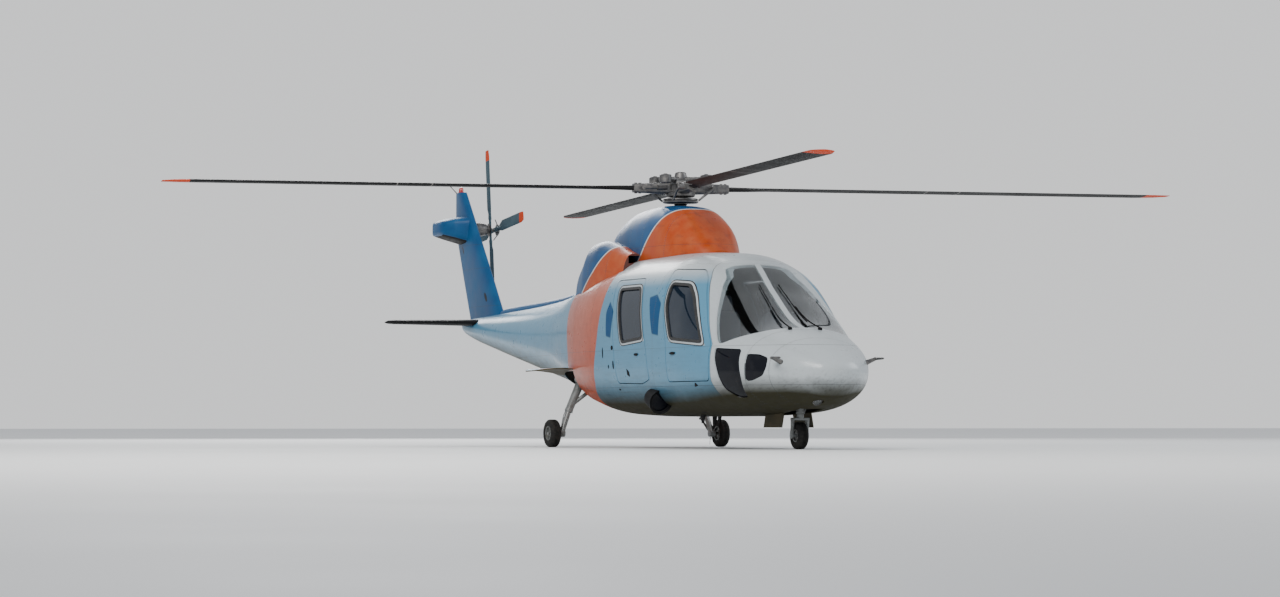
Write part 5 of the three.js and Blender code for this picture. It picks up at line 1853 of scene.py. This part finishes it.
def box_solid(x0, x1, y0, y1, z0, z1, bevel=0.006):
    """A block with its edges eased."""
    made = block(x0, x1, y0 + ORIGIN_STATION, y1 + ORIGIN_STATION, z0, z1)
    mesh = bmesh.new()
    mesh.from_mesh(made.data)
    bmesh.ops.bevel(mesh, geom=mesh.edges, offset=bevel, segments=2, affect="EDGES", profile=0.5)
    mesh.to_mesh(made.data)
    mesh.free()
    return made


def nose_leg():
    """What stays still: the strut down to the steering sleeve, its trunnion, brace and hose."""
    steer_y = NOSE_WHEEL[1] - STEERING_LEAD

    def at(z, dy=0.0):
        return (0.0, steer_y + dy, z)

    strut = [0.052, 0.056, 0.05, 0.05, 0.052]
    hose = [(0.045, steer_y - 0.02, 0.45), (0.075, steer_y - 0.03, 0.52), (0.06, steer_y - 0.01, 0.64)]
    parts = [
        pipe("strut", [at(z) for z in (0.43, 0.445, 0.45, 0.56, LEG_TOP)], strut, 32),
        pipe("trunnion", [(-0.13, steer_y + 0.02, 0.58), (0.13, steer_y + 0.02, 0.58)], 0.026, 20),
        pipe("drag_brace", [at(0.45, 0.02), at(0.545, 0.22), at(0.64, 0.42)], 0.019),
        box_solid(-0.06, 0.06, steer_y + 0.38, steer_y + 0.47, 0.61, LEG_TOP),
        pipe("hose", hose, 0.007, 8),
    ]
    return smooth(joined("nose_leg_metal", parts), 40)


def nose_fork():
    """What steers: a sleeve, a crown, two legs and the axle with its end bosses."""
    steer_y, hub = NOSE_WHEEL[1] - STEERING_LEAD, NOSE_WHEEL
    arm = NOSE_TYRE["width"] / 2 + 0.034
    sleeve = [(0, steer_y, 0.358), (0, steer_y, 0.372), (0, steer_y, 0.424)]
    parts = [
        pipe("sleeve", sleeve, [0.04, 0.044, 0.043], 32),
        box_solid(-arm - 0.012, arm + 0.012, steer_y - 0.04, steer_y + 0.06, 0.348, 0.382, 0.01),
        pipe("axle", [(-arm - 0.014, hub[1], hub[2]), (arm + 0.014, hub[1], hub[2])], AXLE, 24),
    ]
    for side in (-1, 1):
        x, foot = side * arm, (side * arm, hub[1], hub[2])
        path = [(x, steer_y + 0.01, 0.372), (x, steer_y + 0.016, 0.27), foot]
        parts.append(pipe("leg", path, [0.026, 0.023, 0.024], 20))
        parts.append(boss(foot, (1, 0, 0), 0.012, 0.036, 24))
        parts.append(bolt((side * (arm + 0.013), hub[1], hub[2]), (side, 0, 0), 0.02, 0.01))
    return smooth(joined("nose_fork_metal", parts), 40)


dress(nose_leg(), "airframe", ["nose_leg"], [GEAR_ENAMEL])
dress(nose_fork(), "nose_steering", ["nose_fork"], [GEAR_ENAMEL])

# %% [markdown]
# A main leg splays outwards, its brace goes up and inboard, and two links keep the tubes from turning.

# %% Main legs


def main_leg(side_name, side):
    """One main leg: enamelled tube, brace and links, then the bright tube and axle, then a static wire."""
    hub_z, y = axle_height(f"tyre_{side_name}"), aft(MAIN_WHEEL_STATION)
    inboard = MAIN_WHEEL_X - MAIN_TYRE["width"] / 2 - 0.022

    def p(x, dy, z):
        return (side * x, y + dy, z)

    outer = [p(0.8, 0, 0.9), p(0.88, 0, 0.719), p(0.972, 0, 0.512), p(0.99, 0, 0.47)]
    lower = [p(0.985, 0.13, 0.38), p(inboard - 0.055, 0.02, hub_z + 0.01)]
    enamel = [
        pipe("trunnion", [p(0.8, -0.118, 0.9), p(0.8, 0.15, 0.9)], 0.044, 28),
        pipe("outer", outer, [0.058, 0.055, 0.052, 0.058], 32),
        pipe("sleeve", [p(inboard - 0.08, 0, hub_z), p(inboard, 0, hub_z)], 0.048, 32),
        pipe("brace", [p(0.56, -0.09, 0.86), p(0.965, 0, 0.54)], 0.025, 20),
        pipe("brace_pin", [p(0.56, -0.118, 0.86), p(0.56, -0.06, 0.86)], 0.04, 20),
        pipe("upper_link", [p(0.96, 0.02, 0.52), p(0.985, 0.13, 0.38)], [0.018, 0.013], 12),
        pipe("lower_link", lower, [0.013, 0.018], 12),
        pipe("link_pin", [p(0.962, 0.128, 0.38), p(1.008, 0.128, 0.38)], 0.016, 12),
        pipe("brake_line", [p(0.93, 0.05, 0.66), p(1.03, 0.075, 0.42), p(1.075, 0.055, 0.25)], 0.006, 8),
    ]
    leg = smooth(joined(f"main_leg_{side_name}_metal", enamel), 40)
    dress(leg, "airframe", [f"main_leg_{side_name}"], [GEAR_ENAMEL])
    axle = [p(inboard - 0.07, 0, hub_z), p(MAIN_WHEEL_X + MAIN_TYRE["width"] / 2 - 0.01, 0, hub_z)]
    bright = [
        pipe("inner", [p(0.985, 0, 0.48), p(inboard - 0.04, 0, hub_z)], [0.037, 0.036], 32),
        pipe("axle", axle, AXLE, 24),
    ]
    piston = smooth(joined(f"main_piston_{side_name}", bright), 40)
    dress(piston, "airframe", [], [BRIGHT_STEEL])
    x = inboard - 0.03
    path = [p(x, 0.05, hub_z - 0.03), p(inboard - 0.035, 0.07, 0.09), p(x, 0.085, 0.03)]
    wire = smooth(pipe(f"ground_wire_{side_name}", path, 0.003, 8))
    dress(wire, "airframe", [], [DARK_STEEL])


for side_name, side in SIDES:
    main_leg(side_name, side)

# %% [markdown]
# ## Gear doors
#
# The main doors are curved sheets that stand out from the sides like small wings, dull primer inside
# and painted outside. The nose doors hang down along the edges of their bay.

# %% Main and nose gear doors
DOOR_ROOT, DOOR_REACH, DOOR_FOOT, DOOR_RISE, DOOR_THICK = 0.64, 0.81, 0.95, 0.08, 0.016
# as (X, station)
DOOR_PLAN = np.array([
    (0.6, 6.0), (1.19, 5.98), (1.4, 6.29), (1.448, 6.56), (1.27, 6.93), (1.01, 7.33), (0.64, 7.05),
])


def thick_sheet(name, low_face, high_face):
    """A thick sheet: the lower face's rows followed by the upper face's, closed all round."""
    grid = np.concatenate([low_face, high_face[::-1]], axis=0)
    (rows, columns), count = low_face.shape[:2], len(grid)
    faces = grid_faces(count, columns, wrap_rows=True).tolist()
    low, high = np.arange(rows), count - 1 - np.arange(rows)
    for column in (0, columns - 1):
        a, b = low * columns + column, high * columns + column
        faces += np.stack([a[:-1], a[1:], b[1:], b[:-1]], axis=1).tolist()
    return outward(new_mesh(name, grid.reshape(-1, 3), faces))


def main_door(side_name, side):
    """A sheet: height = foot + rise times sin(0.8 pi t) over its reach t, trimmed to its plan."""
    t, s = np.meshgrid(np.linspace(0, 1, 40), np.linspace(5.9, 7.4, 80), indexing="ij")
    x = side * (DOOR_ROOT + DOOR_REACH * t)
    z = DOOR_FOOT + DOOR_RISE * np.sin(0.8 * np.pi * t)
    low, high = np.stack([x, aft(s), z], axis=-1), np.stack([x, aft(s), z + DOOR_THICK], axis=-1)
    made = thick_sheet("door", low, high)
    carve(made, [prism(rounded_outline(DOOR_PLAN * (side, 1), 0.05), 0, 2, "plan")], "INTERSECT")
    carve(made, [body_solid(5.3, 9.0, PROUD)])
    made.name = f"main_gear_door_{side_name}_skin"
    dress(smooth(made, 40), "airframe", [f"main_gear_door_{side_name}"], [PRIMER, BODY_PAINT])
    second_material(made, face_values(made, "normal")[:, 2] > 0.3)


for side_name, side in SIDES:
    main_door(side_name, side)
    hinge = side * (NOSE_BAY["half_width"] + 0.006)
    foot = hinge + side * 0.032
    outline = [(hinge, 0.455), (hinge + side * 0.014, 0.455), (hinge + side * 0.046, 0.262), (foot, 0.262)]
    door = prism(outline, 1.21, 1.72, "front")
    carve(door, [body_solid(0.62, 2.5, PROUD)])
    door.name = f"nose_gear_door_{side_name}_skin"
    dress(door, "airframe", [f"nose_gear_door_{side_name}"], [PRIMER])

# %% [markdown]
# ## Probes, lamps and aerials
#
# Small things break the plain skin: two bent air-data probes, the landing light sunk in the nose, a
# searchlight drum under the starboard side, three blade aerials on the belly, a rod on the fin and a
# skid under the boom's end.

# %% Probes
for side_name, side in SIDES:
    elbow = np.array([side * 0.68, aft(0.47), 1.085])
    root = np.array([side * 0.545, aft(0.49), 1.03])
    bend = [root, root + (elbow - root) * 0.5, elbow, elbow + (0, -0.05, 0)]
    stalk = pipe("stalk", bend, [0.034, 0.026, 0.02, 0.016], 20)
    ahead = [elbow + (0, step, 0) for step in (0.034, -0.06, -0.19, -0.21)]
    tube = pipe("tube", ahead, [0.018, 0.017, 0.013, 0.008], 20)
    carve(stalk, [body_solid(0.1, 0.95, PROUD)])
    probe = smooth(joined(f"pitot_{side_name}_metal", [stalk, tube]), 40)
    dress(probe, "airframe", [f"pitot_{side_name}"], [DARK_STEEL])

# %% [markdown]
# A lamp is a turned dish with a lens over it, tilted down and forwards in the nose.

# %% Landing light
LAMP_AXIS = np.array([0.0, aft(0.452) - aft(0.52), 0.574 - 0.624])
LAMP_FACE = np.array([-0.1, aft(0.452), 0.574])
dish = [
    (-0.075, 0.0), (-0.075, 0.048), (-0.02, 0.06), (0.004, 0.062), (0.006, 0.056), (-0.012, 0.05),
    (-0.05, 0.022), (-0.052, 0.0),
]
# painted shade: the reflector dish is dark steel, standing for the shade in the lamp's hollow
lamp = smooth(turned("landing_light_dish", dish, LAMP_FACE, LAMP_AXIS, 48), 40)
dress(lamp, "airframe", ["landing_light"], [DARK_STEEL])
lens_rows = [(-0.004, 0.0), (-0.004, 0.055), (0.0, 0.055), (0.005, 0.03), (0.006, 0.0)]
lens = turned("landing_light_lens", lens_rows, LAMP_FACE, LAMP_AXIS, 48)
dress(smooth(lens), "airframe", [], [CLEAR_GLASS])

# %% [markdown]
# The searchlight is a drum that hangs on a stub under the starboard side and looks ahead.

# %% Searchlight
SEARCHLIGHT = np.array([-0.955, aft(3.29), 0.605])
front, back = SEARCHLIGHT + (0, -0.14, -0.028), SEARCHLIGHT + (0, 0.12, 0.034)
along = (front - back) / np.linalg.norm(front - back)
drum_rows = [
    (-0.133, 0.0), (-0.133, 0.1), (-0.12, 0.123), (-0.04, 0.134), (0.02, 0.139), (0.09, 0.148),
    (0.12, 0.152), (0.133, 0.154), (0.135, 0.147), (0.115, 0.138), (0.045, 0.1), (0.0, 0.0),
]
drum = turned("drum", drum_rows, (front + back) / 2, along, 56)
arm = [SEARCHLIGHT + (0.02, 0, 0.0), (-0.86, aft(3.29), 0.65), (-0.78, aft(3.29), 0.68)]
bracket = pipe("bracket", arm, 0.055, 28)
carve(bracket, [body_solid(2.5, 3.9, PROUD)])
searchlight = smooth(joined("searchlight_drum", [drum, bracket]), 35)
dress(searchlight, "airframe", ["searchlight"], [DARK_PAINT])
ring_rows = [(0.112, 0.124), (0.112, 0.142), (0.118, 0.143), (0.118, 0.124)]
bezel = turned("searchlight_ring", ring_rows, (front + back) / 2, along, 56)
dress(smooth(bezel), "airframe", [], [DARK_PAINT])
glass_rows = [(0.084, 0.0), (0.084, 0.124), (0.09, 0.124), (0.1, 0.07), (0.104, 0.0)]
face = turned("searchlight_lens", glass_rows, (front + back) / 2, along, 48)
dress(smooth(face), "airframe", [], [DARK_GLASS])

# %% [markdown]
# The belly aerials are small wings, the fin's is a rod, and the skid is a plate under the boom's end.

# %% Aerials and tail skid
# X, first and last station, Z of the tip
AERIALS = ((-0.45, 2.92, 3.06, 0.315), (0.0, 3.56, 3.72, 0.29), (0.33, 4.15, 4.29, 0.315))
for number, (x, start, end, tip) in enumerate(AERIALS):
    rows = np.array([(tip, start + 0.045, end - start - 0.055, 0.01), (0.435, start, end - start, 0.018)])
    aerial = wing(f"belly_aerial_{number}", rows, lambda a, s, u: (x + u, aft(s), a), 8)
    dress(smooth(aerial, 50), "airframe", [], [DARK_PAINT])
rod = [(0, aft(13.14), 3.782), (0, aft(13.33), 3.864), (0, aft(13.52), 3.945)]
whip = pipe("fin_aerial", rod, [0.009, 0.007, 0.006], 12)
dress(smooth(whip), "airframe", [], [DARK_PAINT])
skid_outline = rounded_outline([(12.18, 1.64), (12.64, 1.77), (12.7, 1.7), (12.64, 1.66)], 0.015)
skid = prism(skid_outline, -0.012, 0.012, "side")
skid.name = "tail_skid"
dress(smooth(skid), "airframe", [], [DARK_STEEL])

# %% [markdown]
# ## Inside the cabin
#
# Through the glass one sees seats, a panel and dark trim. The seats are padded blocks with rounded
# edges. The panel is two plain blocks, across the cabin and between the feet, and each engine ends in
# a bored pipe.

# %% Cushions
FLOOR_TOP = 0.7003


def cushion(x0, x1, s0, s1, z0, z1, crown=0.02):
    """A padded block: each of cos and sin to a low power makes a box, which swells by the crown."""
    up, round_it = np.linspace(-np.pi / 2, np.pi / 2, 25), full_turn(48)
    u, v = np.meshgrid(up, round_it, indexing="ij")
    power = 0.28
    cu, su = np.cos(u), np.sin(u)
    ex = signed_power(np.cos(v), power) * np.abs(cu) ** power
    ey = signed_power(np.sin(v), power) * np.abs(cu) ** power
    ez = signed_power(su, power)
    swell = 1 - crown * (ex**2 + ey**2 + ez**2 - 1)
    x = (x0 + x1) / 2 + (x1 - x0) / 2 * ex * swell
    y = aft((s0 + s1) / 2) + (s1 - s0) / 2 * ey * swell
    z = (z0 + z1) / 2 + (z1 - z0) / 2 * ez * swell
    return tube_grid("cushion", np.stack([x, y, z], axis=-1)[1:-1])

# %% [markdown]
# A seat is a frame with cushions.

# %% Seats


def seat(name, x, station, width, node):
    """A seat on its frame: base and back cushions, and a headrest where it is for one person."""
    x0, x1 = x - width / 2, x + width / 2
    low, back = FLOOR_TOP, station + 0.43
    base = box_solid(x0 + 0.06, x1 - 0.06, aft(station + 0.06), aft(station + 0.4), low, low + 0.25)
    base.name = f"{name}_frame"
    dress(base, "airframe", [], [TRIM])
    parts = [
        cushion(x0, x1, station, station + 0.48, low + 0.25, low + 0.39),
        cushion(x0, x1, back, station + 0.56, low + 0.27, low + 1.0),
    ]
    if width < 1:
        parts.append(cushion(x - 0.13, x + 0.13, station + 0.45, station + 0.55, low + 0.99, low + 1.19))
    made = smooth(joined(f"{name}_cushions", parts), 60)
    dress(made, "airframe", [node], [SEAT_CLOTH])


for side_name, side in SIDES:
    seat(f"pilot_seat_{side_name}", side * 0.4, 2.05, 0.48, f"pilot_seat_{side_name}")
seat("cabin_bench", 0.0, 4.48, 1.5, "cabin_bench")

# %% [markdown]
# The panel is plain blocks. Floor, bulkhead and engines stay the solids they are, with a finish.

# %% Panel, bulkhead and engines
console = [
    box_solid(-0.56, 0.56, aft(1.33), aft(1.48), FLOOR_TOP + 0.42, FLOOR_TOP + 0.7, 0.015),
    box_solid(-0.15, 0.15, aft(1.32), aft(1.9), FLOOR_TOP, FLOOR_TOP + 0.43, 0.015),
]
panel = smooth(joined("instrument_console", console), 40)
dress(panel, "airframe", ["instrument_panel"], [TRIM])
# these solids are shown as they are, with a finish of their own
SHOWN_SOLIDS = {
    "cabin_floor": TRIM, "rear_bulkhead": TRIM, "engine_port": DARK_STEEL, "engine_starboard": DARK_STEEL
}
for node, finish in SHOWN_SOLIDS.items():
    NODES[node].data.materials.clear()
    NODES[node].data.materials.append(finish)
for side_name, side in SIDES:
    bore = engine_pipe(side, 0.3, 1.04, 0.064, 0.067)
    tail_pipe = carve(engine_pipe(side, 0.0, 1.0, 0.07, 0.074), [bore])
    tail_pipe.name = f"tail_pipe_{side_name}"
    dress(smooth(tail_pipe, 40), "airframe", [], [DARK_STEEL])

# %% [markdown]
# ## Floor
#
# A plain pale ground that runs far past the machine, so the horizon is clean. It is painted paler with
# distance, as painted light, because only the sky lights it out there.

# %% Floor


def floor_paint():
    """Pale grey that goes over to near white with the distance from the machine: painted light where the
    lamps' light falls off.
    """
    g = Graph("pale_floor")
    cloud = g.noise(0.4, 4.0)
    distance = g.math("SQRT", g.plus(g.times(g.x, g.x), g.times(g.y, g.y)))
    near = g.mix(cloud, (0.7, 0.71, 0.71), (0.74, 0.75, 0.75))
    # painted light: the far floor is paler where the lamps no longer reach
    colour = g.mix(g.span(distance, 8.0, 45.0), near, (0.98, 0.98, 0.98))
    g.bump(g.noise(30.0, 4.0), 0.002, 0.2)
    return g.finish(colour, g.span(cloud, 0.2, 0.8, 0.6, 0.75))


FLOOR_REACH = 200.0
corners = FLOOR_REACH * np.array([(-1, -1, 0), (1, -1, 0), (1, 1, 0), (-1, 1, 0)], float)
floor = new_mesh("floor", corners, [[0, 1, 2, 3]])
floor.data.materials.append(floor_paint())
floor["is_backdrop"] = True
print("floor reaches", FLOOR_REACH, "m each way")

# %% [markdown]
# ## Sizes and finish
#
# Both boxes are worked out, and the dressed machine's box is printed. The dressed
# machine has to stay in the solids' box.

# %% The sizes
VISUAL_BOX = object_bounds()
rows = {
    name: [[float(v) for v in corner] for corner in box]
    for name, box in (("cad", CAD_BOX), ("visual", VISUAL_BOX))
}
print("visual box", rows["visual"])
